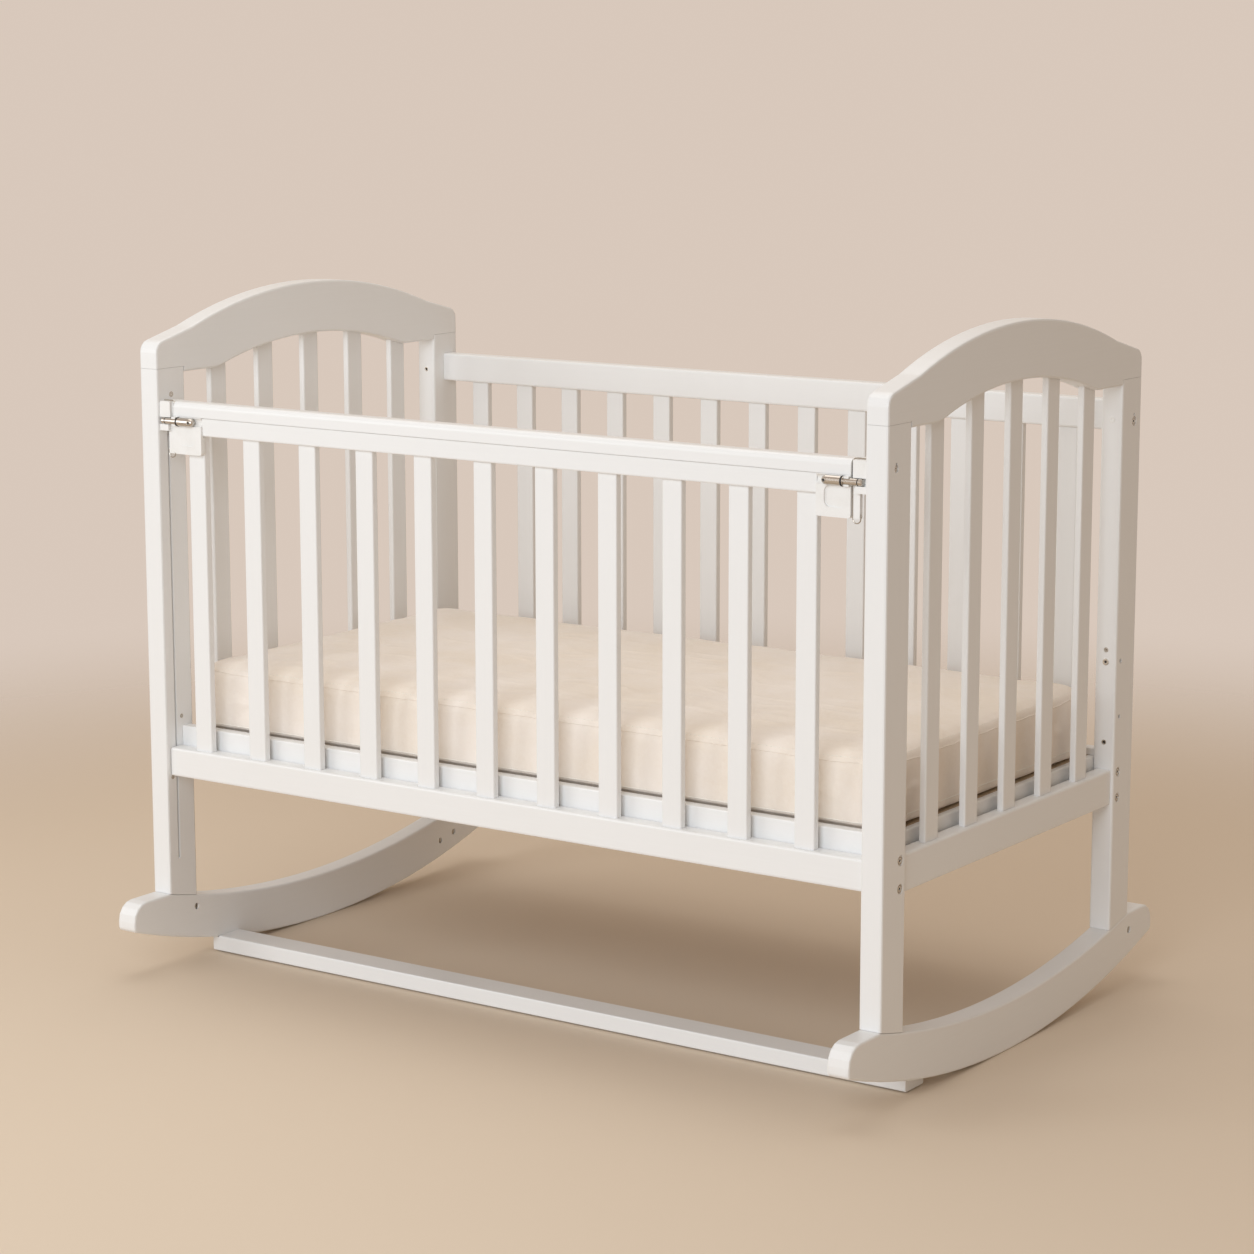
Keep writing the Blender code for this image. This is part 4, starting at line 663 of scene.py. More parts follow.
class Bench:
    """Blender's modelling operators, with faces and edges picked by their place."""

    @staticmethod
    def settle(name: str) -> bpy.types.Object:
        """Name the piece just added and put its place in its mesh.

        Args:
            name: The piece's name.

        Returns:
            The piece.
        """
        piece = bpy.context.object
        piece.name = name
        piece.data.name = name
        bpy.ops.object.transform_apply(location=True, rotation=True, scale=True)
        return piece

    @staticmethod
    def rod(
        name: str, radius: float, depth: float, at: Vector, facing: Vector, sides: int
    ) -> bpy.types.Object:
        """Add a round bar.

        Args:
            name: The piece's name.
            radius: Its radius.
            depth: Its length along `facing`.
            at: The middle of its front face.
            facing: The way the front face looks.
            sides: How many sides the round has.

        Returns:
            The piece.
        """
        bpy.ops.object.select_all(action="DESELECT")
        turn = facing.to_track_quat("Z", "Y").to_euler()
        middle = at - facing * (depth / 2)
        bpy.ops.mesh.primitive_cylinder_add(
            vertices=sides, radius=radius, depth=depth, location=middle, rotation=turn
        )
        return Bench.settle(name)

    @staticmethod
    def ring(name: str, radius: float, wire: float, at: Vector, facing: Vector) -> bpy.types.Object:
        """Add a ring of round wire about an axis.

        Args:
            name: The piece's name.
            radius: Radius to the middle of the wire.
            wire: Radius of the wire.
            at: The ring's middle.
            facing: The ring's axis.

        Returns:
            The piece.
        """
        bpy.ops.object.select_all(action="DESELECT")
        turn = facing.to_track_quat("Z", "Y").to_euler()
        bpy.ops.mesh.primitive_torus_add(
            major_segments=40, minor_segments=12, major_radius=radius, minor_radius=wire,
            location=at, rotation=turn,
        )
        piece = Bench.settle(name)
        Bench.smooth(piece)
        return piece

    @staticmethod
    def pick(piece: bpy.types.Object, test: FaceTest) -> None:
        """Select the faces that pass a test and enter edit mode.

        Args:
            piece: The piece to edit.
            test: Says of a face whether it is picked.
        """
        bpy.ops.object.select_all(action="DESELECT")
        piece.select_set(True)
        bpy.context.view_layer.objects.active = piece
        bpy.context.tool_settings.mesh_select_mode = (False, False, True)
        mesh = piece.data
        mesh.vertices.foreach_set("select", [False] * len(mesh.vertices))
        mesh.edges.foreach_set("select", [False] * len(mesh.edges))
        mesh.polygons.foreach_set("select", [test(polygon) for polygon in mesh.polygons])
        bpy.ops.object.mode_set(mode="EDIT")

    @staticmethod
    def front(piece: bpy.types.Object, facing: Vector) -> FaceTest:
        """A test for the faces at the very front of a piece.

        Args:
            piece: The piece.
            facing: The way its front looks.

        Returns:
            The test.
        """
        reach = max(vertex.co.dot(facing) for vertex in piece.data.vertices)
        return lambda face: (
            face.normal.dot(facing) > SQUARE_ON and face.center.dot(facing) > reach - HAIR
        )

    @staticmethod
    def push(piece: bpy.types.Object, offset: Vector) -> None:
        """Extrude the picked faces by an offset and leave edit mode."""
        bpy.ops.mesh.extrude_region_move(TRANSFORM_OT_translate={"value": offset})
        bpy.ops.object.mode_set(mode="OBJECT")

    @staticmethod
    def soften(piece: bpy.types.Object, width: float, segments: int = 2) -> None:
        """Round the sharp edges of a piece for good.

        Args:
            piece: The piece.
            width: How wide the rounding is.
            segments: How many strips it has.
        """
        bevel = piece.modifiers.new("soften", "BEVEL")
        bevel.width = width
        bevel.segments = segments
        bevel.limit_method = "ANGLE"
        bevel.angle_limit = ROUNDED_ABOVE
        Bench.apply(piece, bevel)
        Bench.smooth(piece)

    @staticmethod
    def apply(piece: bpy.types.Object, modifier: bpy.types.Modifier) -> None:
        """Apply a modifier."""
        bpy.context.view_layer.objects.active = piece
        bpy.ops.object.modifier_apply(modifier=modifier.name)

    @staticmethod
    def smooth(piece: bpy.types.Object) -> None:
        """Shade a piece smooth, but not across sharp edges.

        Args:
            piece: The piece.
        """
        bpy.ops.object.select_all(action="DESELECT")
        piece.select_set(True)
        bpy.context.view_layer.objects.active = piece
        bpy.ops.object.shade_smooth_by_angle(angle=SMOOTH_BELOW)

    @staticmethod
    def copy(piece: bpy.types.Object, name: str, move: Matrix) -> bpy.types.Object:
        """A copy with its own mesh, moved by a matrix that is put in the mesh.

        Args:
            piece: The piece to copy.
            name: The copy's name.
            move: Where the copy goes.

        Returns:
            The copy.
        """
        twin = piece.copy()
        twin.data = piece.data.copy()
        twin.name = name
        twin.data.name = name
        twin.data.transform(move)
        bpy.context.scene.collection.objects.link(twin)
        return twin

    @staticmethod
    def darken(piece: bpy.types.Object, test: FaceTest) -> None:
        """Give the faces that pass a test the second finish of the piece, the painted shade of its
        hollows.
        """
        for polygon in piece.data.polygons:
            polygon.material_index = 1 if test(polygon) else 0

    @staticmethod
    def hand_over(
        piece: bpy.types.Object, finishes: Sequence[bpy.types.Material], body: str, slot: str
    ) -> None:
        """Give a piece its finishes and its body, and report it.

        Args:
            piece: The finished piece.
            finishes: Its materials, in the order of its faces' numbers.
            body: The body that it rides on.
            slot: Not used.
        """
        kept = [polygon.material_index for polygon in piece.data.polygons]
        piece.data.materials.clear()
        for material in finishes:
            piece.data.materials.append(material)
        piece.data.polygons.foreach_set("material_index", kept)
        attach(piece, body)
        log.info("made %s on %s", piece.name, body)


# ---------------------------------------------------------------- the crib's parts


@dataclass
class CribDress:
    """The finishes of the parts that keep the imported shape."""

    rack: FinishRack
    grains: Mapping[str, Grain] = field(default_factory=lambda: {
        "rocker": Grain.ALONG_Y,
        "arch": Grain.ALONG_Y,
        "end_rail": Grain.ALONG_Y,
        "base_end_board": Grain.ALONG_Y,
        "post": Grain.ALONG_Z,
        "end_slat": Grain.ALONG_Z,
        "side_slat": Grain.ALONG_Z,
        "back_slat_panel": Grain.SLATS_ON_RAIL,
        "back_top_rail": Grain.ALONG_X,
        "side_": Grain.ALONG_X,
        "base_board": Grain.ALONG_X,
        "base_centre_bar": Grain.ALONG_X,
        "stop_bar": Grain.ALONG_X,
    })

    def finish_of(self, node: str) -> bpy.types.Material:
        """The finish that a node wears.

        Args:
            node: The node's name.

        Returns:
            Its material.
        """
        others = {
            "latch_keeper_spring": self.rack.aged,
            "latch_keeper": self.rack.plastic,
            "latch_housing": self.rack.plastic,
            "latch_bolt": self.rack.nickel,
            "guide_pin": self.rack.nickel,
            "bar_glide": self.rack.pad,
            "base_panel": self.rack.board,
            "mattress": self.rack.cotton,
        }
        for start, material in others.items():
            if node.startswith(start):
                return material
        for start, grain in self.grains.items():
            if node.startswith(start):
                return self.rack.paint[grain]
        raise KeyError(node)

    def build(self) -> None:
        """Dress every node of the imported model."""
        for name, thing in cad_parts.items():
            material = self.finish_of(name)
            for holder in thing.material_slots:
                holder.material = material
            log.info("dressed %s in %s", name, material.name)


@dataclass
class MattressSewing:
    """The cotton-covered foam mattress, stuffed by simulation, with its seams."""

    rack: FinishRack
    start_inset: float = 0.0028
    corner_round: float = 0.032
    edge_round: float = 0.016
    foot_round: float = 0.004
    voxel: float = 0.006
    pressure: float = 4.0
    frames: int = 20
    most_swell: float = 0.0045
    panel_clearance: float = 0.0002
    end_bulge: float = 0.0040
    side_bulge: float = 0.0085
    top_draw_in: float = 0.60
    end_tuck: float = 0.0012
    side_tuck: float = 0.0010
    tuck_lift: float = -0.0010
    tuck_height: float = 0.0064
    crown: float = 0.0030
    ripple_height: float = 0.0013
    ripple_length: float = 0.30
    ripple_pitch: float = 0.040
    crease_height: float = 0.0016
    crease_pitch: float = 0.026
    fold_from_end: float = 0.024
    fold_depth: float = 0.0030
    fold_width: float = 0.0045
    point_pitch: float = 0.006
    seam_wire: float = 0.0009
    seam_inset: float = 0.0060
    hem_wire: float = 0.0008
    hem_above_board: float = 0.0056
    stitch_inset: float = 0.0115
    stitch_pitch: float = 0.0068
    stitch_length: float = 0.0044
    stitch_wire: float = 0.0005
    cloth_quality: int = 4
    cloth_mass: float = 0.3
    cloth_bending: float = 0.6
    crown_power: int = 4
    wander_pitch: float = 0.11
    fold_sharpness: float = 3.0
    fold_share: float = 0.8
    swell_pitch: float = 0.09
    crease_stretch: float = 0.28
    soft_pitch: float = 0.045
    crease_share: float = 0.45
    soft_share: float = 0.8
    lean_pitch: float = 0.03
    lean: float = 0.004
    corner_steps: int = 8
    ray_start: float = 0.05
    side_start: float = 0.02
    top_from: float = 0.3
    side_from: float = 0.02
    wander_layer: float = 0.5
    ripple_layer: float = 1.5
    ripple_gain: float = 3.0
    ridges: tuple[float, float, int, float, float] = (0.9, 2.1, 3, 0.9, 2.0)
    soft_stretch: float = 0.5
    fold_side_from: float = 0.7
    fold_gain: float = 1.6
    lip_share: float = 0.6
    lip_from_fold: float = 2.0

    def build(self) -> None:
        """Make the cushion, then sew its seams, its hem and its stitches."""
        self.low, self.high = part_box("mattress")
        self.board_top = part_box("base_board_front")[1].z
        cushion = self.block()
        self.stuff(cushion)
        self.shape(cushion)
        cushion.data.shade_smooth()
        Bench.hand_over(cushion, [self.rack.cotton], "frame", "mattress")
        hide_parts("mattress")
        self.cover = BVHTree.FromPolygons(
            [vertex.co for vertex in cushion.data.vertices],
            [polygon.vertices for polygon in cushion.data.polygons],
        )
        seam_path = self.on_top(self.seam_inset, self.point_pitch)
        seam = self.cord("mattress_seam", seam_path, self.seam_wire)
        Bench.hand_over(seam, [self.rack.cotton], "frame", "mattress")
        hem_z = self.board_top + self.hem_above_board
        hem = self.cord("mattress_hem", self.on_side(hem_z), self.hem_wire)
        Bench.hand_over(hem, [self.rack.thread], "frame", "mattress")
        stitches = self.stitches()
        Bench.hand_over(stitches, [self.rack.thread], "frame", "mattress")

    def block(self) -> bpy.types.Object:
        """Make the foam block as it is before it swells.

        Returns:
            The block, remeshed evenly.
        """
        bpy.ops.object.select_all(action="DESELECT")
        bpy.ops.mesh.primitive_cube_add(size=1, location=(self.low + self.high) / 2)
        inset = Vector((2, 2, 1)) * self.start_inset
        bpy.context.object.scale = self.high - self.low - inset
        cushion = Bench.settle("mattress_cover")
        middle_z = (self.low.z + self.high.z) / 2
        self.round_where(cushion, self.corner_round, lambda low, high: high.z - low.z > self.edge_round)
        self.round_where(cushion, self.edge_round, lambda low, high: low.z > middle_z)
        self.round_where(cushion, self.foot_round, lambda low, high: high.z < middle_z)
        remesh = cushion.modifiers.new("even_mesh", "REMESH")
        remesh.mode = "VOXEL"
        remesh.voxel_size = self.voxel
        Bench.apply(cushion, remesh)
        return cushion

    @staticmethod
    def round_where(
        piece: bpy.types.Object, radius: float, test: Callable[[Vector, Vector], bool]
    ) -> None:
        """Bevel some of the sharp edges.

        Args:
            piece: The piece.
            radius: How wide the rounding is.
            test: Says of an edge's lower and upper end whether it is rounded.
        """
        Bench.pick(piece, lambda face: False)
        bpy.context.tool_settings.mesh_select_mode = (False, True, False)
        bpy.ops.mesh.edges_select_sharp(sharpness=SHARP_ABOVE)
        bpy.ops.object.mode_set(mode="OBJECT")
        mesh = piece.data
        for edge in mesh.edges:
            ends = sorted((mesh.vertices[index].co for index in edge.vertices), key=lambda end: end.z)
            edge.select = edge.select and test(*ends)
        mesh.vertices.foreach_set("select", [False] * len(mesh.vertices))
        mesh.polygons.foreach_set("select", [False] * len(mesh.polygons))
        bpy.ops.object.mode_set(mode="EDIT")
        bpy.ops.mesh.bevel(offset=radius, segments=5, profile=0.5)
        bpy.ops.object.mode_set(mode="OBJECT")

    def stuff(self, cushion: bpy.types.Object) -> None:
        """Swell the cover over its foam by a cloth simulation, and cap how far it moves.

        Args:
            cushion: The cover, evenly meshed.
        """
        scene = bpy.context.scene
        cloth = cushion.modifiers.new("stuffing", "CLOTH")
        cloth.settings.quality = self.cloth_quality
        cloth.settings.mass = self.cloth_mass
        cloth.settings.use_pressure = True
        cloth.settings.uniform_pressure_force = self.pressure
        cloth.settings.effector_weights.gravity = 0.0
        cloth.settings.bending_stiffness = self.cloth_bending
        cloth.point_cache.frame_start = 1
        cloth.point_cache.frame_end = self.frames
        for number in range(1, self.frames + 1):
            scene.frame_set(number)
        graph = bpy.context.evaluated_depsgraph_get()
        swollen = cushion.evaluated_get(graph)
        goals = [vertex.co.copy() for vertex in swollen.data.vertices]
        cushion.modifiers.remove(cloth)
        for vertex, goal in zip(cushion.data.vertices, goals):
            move = goal - vertex.co
            if move.length > self.most_swell:
                move *= self.most_swell / move.length
            vertex.co += move
        scene.frame_set(1)
        finer = cushion.modifiers.new("finer", "SUBSURF")
        finer.levels = finer.render_levels = 1
        Bench.apply(cushion, finer)

    def shape(self, cushion: bpy.types.Object) -> None:
        """Crease and ripple the cover, and tuck its lower edge in behind the boards.

        Args:
            cushion: The cover.
        """
        normals = [vertex.normal.copy() for vertex in cushion.data.vertices]
        for vertex, normal in zip(cushion.data.vertices, normals):
            place = vertex.co.copy()
            if normal.z > self.top_from:
                place.z += self.top_rise(place) * normal.z
            side = 1 - abs(normal.z)
            if side > self.side_from:
                place += normal * (side * self.side_swell(place, normal))
            vertex.co = self.held(place)

    def top_rise(self, place: Vector) -> float:
        """How far the top stands up: a low crown with long soft folds.

        Args:
            place: A place on the cover.

        Returns:
            The rise there.
        """
        across = abs(place.x / self.high.x)
        along = abs(place.y / self.high.y)
        swell = max(0.0, 1 - across ** self.crown_power) * max(0.0, 1 - along ** self.crown_power)
        slow = Vector((place.x / self.wander_pitch, place.y / self.wander_pitch, self.wander_layer))
        row = place.y / self.ripple_pitch + noise.noise(slow)
        stretched = Vector((place.x / self.ripple_length, row, self.ripple_layer))
        folds = 1 - abs(noise.noise(stretched)) * self.fold_sharpness
        ripple = max(0.0, folds) ** 2 * self.fold_share + noise.noise(place / self.swell_pitch)
        return self.crown * swell + self.ripple_height * ripple * min(1.0, swell * self.ripple_gain)

    def side_swell(self, place: Vector, normal: Vector) -> float:
        """How far a side stands out: its profile, upright creases and corner folds.

        Args:
            place: A place on the cover.
            normal: The cover's normal there.

        Returns:
            How far it stands out there.
        """
        ends = normal.x ** 2 / max(normal.x ** 2 + normal.y ** 2, NOT_ZERO)
        out = ends * self.profile(place.z, self.low.z, self.end_bulge, self.end_tuck)
        out += (1 - ends) * self.profile(place.z, self.board_top, self.side_bulge, self.side_tuck)
        share = (place.z - self.board_top) / (self.high.z - self.board_top)
        rise = math.sin(math.pi * min(1.0, max(0.0, share)))
        upright = Vector((place.x, place.y, place.z * self.crease_stretch)) / self.crease_pitch
        crease = noise.ridged_multi_fractal(upright, *self.ridges) - 1.0
        soft = noise.noise(Vector((place.x, place.y, place.z * self.soft_stretch)) / self.soft_pitch)
        out += self.crease_height * (crease * self.crease_share + soft * self.soft_share) * rise
        if abs(normal.y) > self.fold_side_from:
            lean = noise.noise(Vector((place.z / self.lean_pitch, place.x, 0.0))) * self.lean
            beside = (self.high.x - self.fold_from_end + lean - abs(place.x)) / self.fold_width
            lip = math.exp(-(beside - self.lip_from_fold) ** 2)
            out -= self.fold_depth * math.exp(-beside * beside) * min(1.0, rise * self.fold_gain)
            out += self.fold_depth * self.lip_share * lip * rise
        return out

    def profile(self, z: float, foot: float, bulge: float, tuck: float) -> float:
        """A side's outline at a height: tucked in at its foot, round above it, drawn in to the top.

        Args:
            z: The height.
            foot: Where the side leaves what it stands behind or on.
            bulge: How far it stands out above its foot.
            tuck: How far it is drawn in at its foot.

        Returns:
            How far it stands out.
        """
        climb = min(1.0, max(0.0, (z - foot - self.tuck_lift) / self.tuck_height))
        quarter = math.sqrt(1 - (1 - climb) ** 2)
        share = min(1.0, max(0.0, (z - foot) / (self.high.z - foot)))
        full = bulge * (1 - self.top_draw_in * share * share)
        return (full + tuck) * quarter - tuck

    def held(self, place: Vector) -> Vector:
        """Keep a place clear of the end frames, the boards and the panel.

        Args:
            place: The place.

        Returns:
            The place itself, moved where it has to be.
        """
        reach_x = self.high.x + self.end_bulge
        bulge = self.side_bulge if place.z > self.board_top else self.side_tuck
        reach_y = self.high.y + bulge
        place.x = min(max(place.x, -reach_x), reach_x)
        place.y = min(max(place.y, -reach_y), reach_y)
        place.z = max(place.z, self.low.z + self.panel_clearance)
        return place

    def outline(self, inset: float, pitch: float) -> list[tuple[Vector, Vector]]:
        """Evenly spaced places round the cushion, seen from above.

        Args:
            inset: How far they lie inside the cushion's outline.
            pitch: The distance between them.

        Returns:
            Each place with the direction out of the cushion there.
        """
        radius = self.corner_round - inset
        centre = Vector((self.high.x - inset - radius, self.high.y - inset - radius))
        path = []
        for quarter, (x, y) in enumerate(((1, 1), (-1, 1), (-1, -1), (1, -1))):
            for step in range(self.corner_steps + 1):
                angle = (quarter + step / self.corner_steps) * math.pi / 2
                corner = Vector((x * centre.x, y * centre.y))
                path.append(corner + radius * Vector((math.cos(angle), math.sin(angle))))
        path.append(path[0])
        total = sum((b - a).length for a, b in zip(path, path[1:]))
        count = round(total / pitch)
        places = []
        walked, index = 0.0, 0
        for number in range(count):
            goal = total * number / count
            while walked + (path[index + 1] - path[index]).length < goal:
                walked += (path[index + 1] - path[index]).length
                index += 1
            run = path[index + 1] - path[index]
            spot = path[index] + run.normalized() * (goal - walked)
            core_x = min(max(spot.x, -centre.x), centre.x)
            core = Vector((core_x, min(max(spot.y, -centre.y), centre.y)))
            places.append((spot.to_3d(), (spot - core).normalized().to_3d()))
        return places

    def on_top(self, inset: float, pitch: float) -> list[Vector]:
        """Places on the top of the cover.

        Args:
            inset: How far they lie inside its outline.
            pitch: The distance between them.

        Returns:
            The places.
        """
        hits = []
        for spot, _ in self.outline(inset, pitch):
            hit = self.cover.ray_cast(spot + UP * (self.high.z + self.ray_start), -UP)[0]
            if hit is not None:
                hits.append(hit)
        return hits

    def on_side(self, z: float) -> list[Vector]:
        """Places round the side of the cover.

        Args:
            z: Their height.

        Returns:
            The places.
        """
        hits = []
        for spot, outward in self.outline(0.0, self.point_pitch):
            start = spot + outward * self.side_start + UP * z
            hit = self.cover.ray_cast(start, -outward)[0]
            if hit is not None:
                hits.append(hit)
        return hits

    def cord(self, name: str, places: Sequence[Vector], wire: float) -> bpy.types.Object:
        """A thin closed cord on the cover.

        Args:
            name: Its name.
            places: The places that it runs through.
            wire: Its radius.

        Returns:
            The cord.
        """
        curve = bpy.data.curves.new(name, "CURVE")
        curve.dimensions = "3D"
        curve.bevel_depth = wire
        curve.bevel_resolution = 1
        spline = curve.splines.new("POLY")
        spline.points.add(len(places) - 1)
        for point, place in zip(spline.points, places):
            point.co = (*place, 1.0)
        spline.use_cyclic_u = True
        cord = bpy.data.objects.new(name, curve)
        bpy.context.scene.collection.objects.link(cord)
        bpy.ops.object.select_all(action="DESELECT")
        cord.select_set(True)
        bpy.context.view_layer.objects.active = cord
        bpy.ops.object.convert(target="MESH")
        cord = bpy.context.object
        cord.data.shade_smooth()
        return cord

    def stitches(self) -> bpy.types.Object:
        """Sew a row of stitches on the top, just inside the seam.

        Returns:
            The stitches as one piece.
        """
        bpy.ops.object.select_all(action="DESELECT")
        bpy.ops.mesh.primitive_uv_sphere_add(segments=8, ring_count=6, radius=1.0)
        model = bpy.context.object
        places = self.on_top(self.stitch_inset, self.stitch_pitch)
        row = bmesh.new()
        for place, after in zip(places, places[1:] + places[:1]):
            turn = (after - place).to_track_quat("X", "Z").to_matrix().to_4x4()
            size = Matrix.Diagonal((self.stitch_length / 2, self.stitch_wire, self.stitch_wire, 1.0))
            model.data.transform(size)
            model.data.transform(Matrix.Translation(place) @ turn)
            row.from_mesh(model.data)
            model.data.transform((Matrix.Translation(place) @ turn).inverted())
            model.data.transform(size.inverted())
        mesh = bpy.data.meshes.new("mattress_stitches")
        row.to_mesh(mesh)
        row.free()
        bpy.data.objects.remove(model, do_unlink=True)
        mesh.shade_smooth()
        thing = bpy.data.objects.new("mattress_stitches", mesh)
        bpy.context.scene.collection.objects.link(thing)
        return thing


@dataclass
class Fasteners:
    """Bolt heads, screws, nuts and inserts of the frame."""

    rack: FinishRack
    head_radius: float = 0.0066
    head_height: float = 0.0028
    rim_width: float = 0.0017
    channel_width: float = 0.0006
    channel_depth: float = 0.0008
    socket_radius: float = 0.0021
    socket_depth: float = 0.0019
    sunk: float = 0.0006
    sink_floor: float = 0.0038
    sink_radius: float = 0.0068
    floor_thickness: float = 0.0004
    base_bolt_heights: tuple[float, float] = (0.2985, 0.3365)
    rail_bolt_z: float = 0.846
    keeper_screw_z: float = 0.852
    keeper_head_radius: float = 0.0041
    keeper_sunk: float = 0.0008
    keeper_floor: float = 0.0031
    keeper_floor_radius: float = 0.0049
    peak_rise: float = 0.0055
    peak_radius: float = 0.0021
    nut_radius: float = 0.0046
    nut_depth: float = 0.008
    nut_inset: float = 0.0012
    nut_places: tuple[tuple[float, float], ...] = ((-0.302, 0.0837), (0.302, 0.0617), (0.338, 0.0696))
    lock_screw_place: tuple[float, float] = (0.365, 0.088)
    lock_radius: float = 0.0051
    insert_radius: float = 0.0036
    insert_depth: float = 0.006
    hole_share: float = 0.48
    plain_insert_grow: float = 1.15
    flange_radius: float = 0.0050
    flange_height: float = 0.0006
    plain_insert_z: float = 0.381
    plug_z: float = 0.851
    flanged_insert_z: float = 0.4995
    socket_insert_z: float = 0.517
    insert_sunk: float = 0.0003
    filled_sunk: float = 0.0004
    mark_places: tuple[tuple[float, float, float], ...] = (
        (-0.330, 0.869, 0.0042),
        (-0.3255, 0.384, 0.0032),
        (-0.348, 0.294, 0.0032),
    )
    head_edge: float = 0.00025
    small_edge: float = 0.0002
    socket_lip: float = 1.25
    slot_share: float = 0.18
    slot_strip: float = 0.1
    slot_depth: float = 0.45
    slot_reach: float = 0.25
    slot_from: float = 0.2
    slot_to: float = 0.9
    dish_share: float = 0.35
    dish_depth: float = 0.5
    bore_share: float = 0.8
    slack: float = 1.05
    bore_slack: float = 1.06
    channel_share: float = 0.35
    head_sides: int = 36
    disc_sides: int = 32
    insert_sides: int = 28
    fewest_round: int = 8

    def build(self) -> None:
        """Make each kind once, and copy it to its places."""
        models = {
            "head": self.socket_head(),
            "nut": self.slotted_disc(),
            "insert": self.insert_ring("insert_model", self.insert_radius, 0.0),
            "flanged": self.insert_ring("flanged_model", self.flange_radius, self.flange_height),
        }
        for side in Side:
            self.bolt_heads(models["head"], side)
            self.keeper_screw(models["head"], side)
            self.cross_nuts(models["nut"], side)
            self.inserts(models, side)
            self.post_marks(models["head"], side)
        for model in models.values():
            bpy.data.objects.remove(model, do_unlink=True)

    def socket_head(self) -> bpy.types.Object:
        """Make a round head with a rim, a sunk ring and a six-sided socket.

        Returns:
            The head, at the origin, looking along +X.
        """
        head = Bench.rod(
            "head_model", self.head_radius, self.head_height, Vector(), RIGHTWARD, self.head_sides
        )
        Bench.pick(head, Bench.front(head, RIGHTWARD))
        steps = ((self.rim_width, -self.channel_depth), (self.channel_width, self.channel_depth))
        for width, step in steps:
            bpy.ops.mesh.inset(thickness=width)
            bpy.ops.mesh.extrude_region_move(TRANSFORM_OT_translate={"value": (step, 0, 0)})
        button = self.head_radius - self.rim_width - self.channel_width
        bpy.ops.mesh.inset(thickness=button - self.socket_radius * self.socket_lip)
        bpy.ops.mesh.inset(thickness=self.socket_radius * (self.socket_lip - 1))
        bpy.ops.object.mode_set(mode="OBJECT")
        for vertex in head.data.vertices:
            place = vertex.co
            if place.x > -TINY and place.yz.length < self.socket_radius * self.slack:
                angle = math.atan2(place.z, place.y)
                sixth = math.pi / 3
                offset = (angle % sixth) - sixth / 2
                reach = self.socket_radius * math.cos(sixth / 2) / math.cos(offset)
                place.y = reach * math.cos(angle)
                place.z = reach * math.sin(angle)
        front = Bench.front(head, RIGHTWARD)
        Bench.pick(head, lambda face: front(face) and len(face.vertices) > self.fewest_round)
        Bench.push(head, Vector((-self.socket_depth, 0, 0)))
        Bench.soften(head, self.head_edge)
        # The sunk ring and the socket get painted shade.
        Bench.darken(head, self.sunk_face)
        return head

    def sunk_face(self, face: bpy.types.MeshPolygon) -> bool:
        """Whether a face of the head lies in its ring or its socket, where shade is painted.

        Args:
            face: The face.

        Returns:
            True where it does.
        """
        off = face.center.yz.length
        inside_rim = off < self.head_radius - self.rim_width * self.slack
        return inside_rim and face.center.x < -self.channel_depth * self.channel_share

    def slotted_disc(self) -> bpy.types.Object:
        """Make a round nut end with a screwdriver slot.

        Returns:
            The nut, at the origin, looking along +X.
        """
        radius = self.nut_radius
        disc = Bench.rod("nut_model", radius, self.nut_depth, Vector(), RIGHTWARD, self.disc_sides)
        front = Bench.front(disc, RIGHTWARD)
        for edge in (-1, 1):
            Bench.pick(disc, lambda face: face.normal.x > SQUARE_ON)
            bpy.ops.mesh.bisect(plane_co=(0, edge * radius * self.slot_share, 0), plane_no=(0, 1, 0))
            bpy.ops.object.mode_set(mode="OBJECT")
        Bench.pick(disc, lambda face: front(face) and abs(face.center.y) < radius * self.slot_strip)
        Bench.push(disc, Vector((-radius * self.slot_depth, 0, 0)))
        Bench.soften(disc, self.small_edge)
        # The slot gets painted shade.
        Bench.darken(disc, self.in_slot)
        return disc

    def in_slot(self, face: bpy.types.MeshPolygon) -> bool:
        """Whether a face of the nut lies in its slot, where shade is painted.

        Args:
            face: The face.

        Returns:
            True where it does.
        """
        below = -self.nut_depth * self.slot_to < face.center.x < -self.nut_radius * self.slot_from
        return below and abs(face.center.y) < self.nut_radius * self.slot_reach

    def insert_ring(self, name: str, radius: float, height: float) -> bpy.types.Object:
        """A threaded insert at the origin that looks along -Y, open in the middle.

        Args:
            name: The model's name.
            radius: The radius of its front.
            height: How far a flange stands proud of the wood, or zero.

        Returns:
            The model.
        """
        depth = self.insert_depth if height == 0 else height
        ring = Bench.rod(name, radius, depth, AHEAD * height, AHEAD, self.insert_sides)
        Bench.pick(ring, Bench.front(ring, AHEAD))
        bpy.ops.mesh.inset(thickness=radius - self.insert_radius * self.hole_share)
        Bench.push(ring, -AHEAD * (depth * self.bore_share + (self.insert_depth if height else 0)))
        Bench.soften(ring, self.small_edge)
        # The insert's bore gets painted shade.
        bore = self.insert_radius * self.hole_share * self.bore_slack
        Bench.darken(ring, lambda face: face.center.xz.length < bore)
        return ring

    def stand(
        self, model: bpy.types.Object, name: str, at: Vector, turn: float, side: Side, grow: float = 1.0
    ) -> None:
        """Copy a model to its place and hand it over.

        Args:
            model: The piece to copy.
            name: The copy's name.
            at: Its place.
            turn: How far it is turned about Z.
            side: The end of the crib that it belongs to.
            grow: How much larger than the model it is.
        """
        move = Matrix.Translation(at) @ Matrix.Rotation(turn, 4, "Z") @ Matrix.Scale(grow, 4)
        # The second finish paints shade into the copy's hollows.
        self.fix(Bench.copy(model, name, move), [self.rack.zinc, self.rack.recess], side)

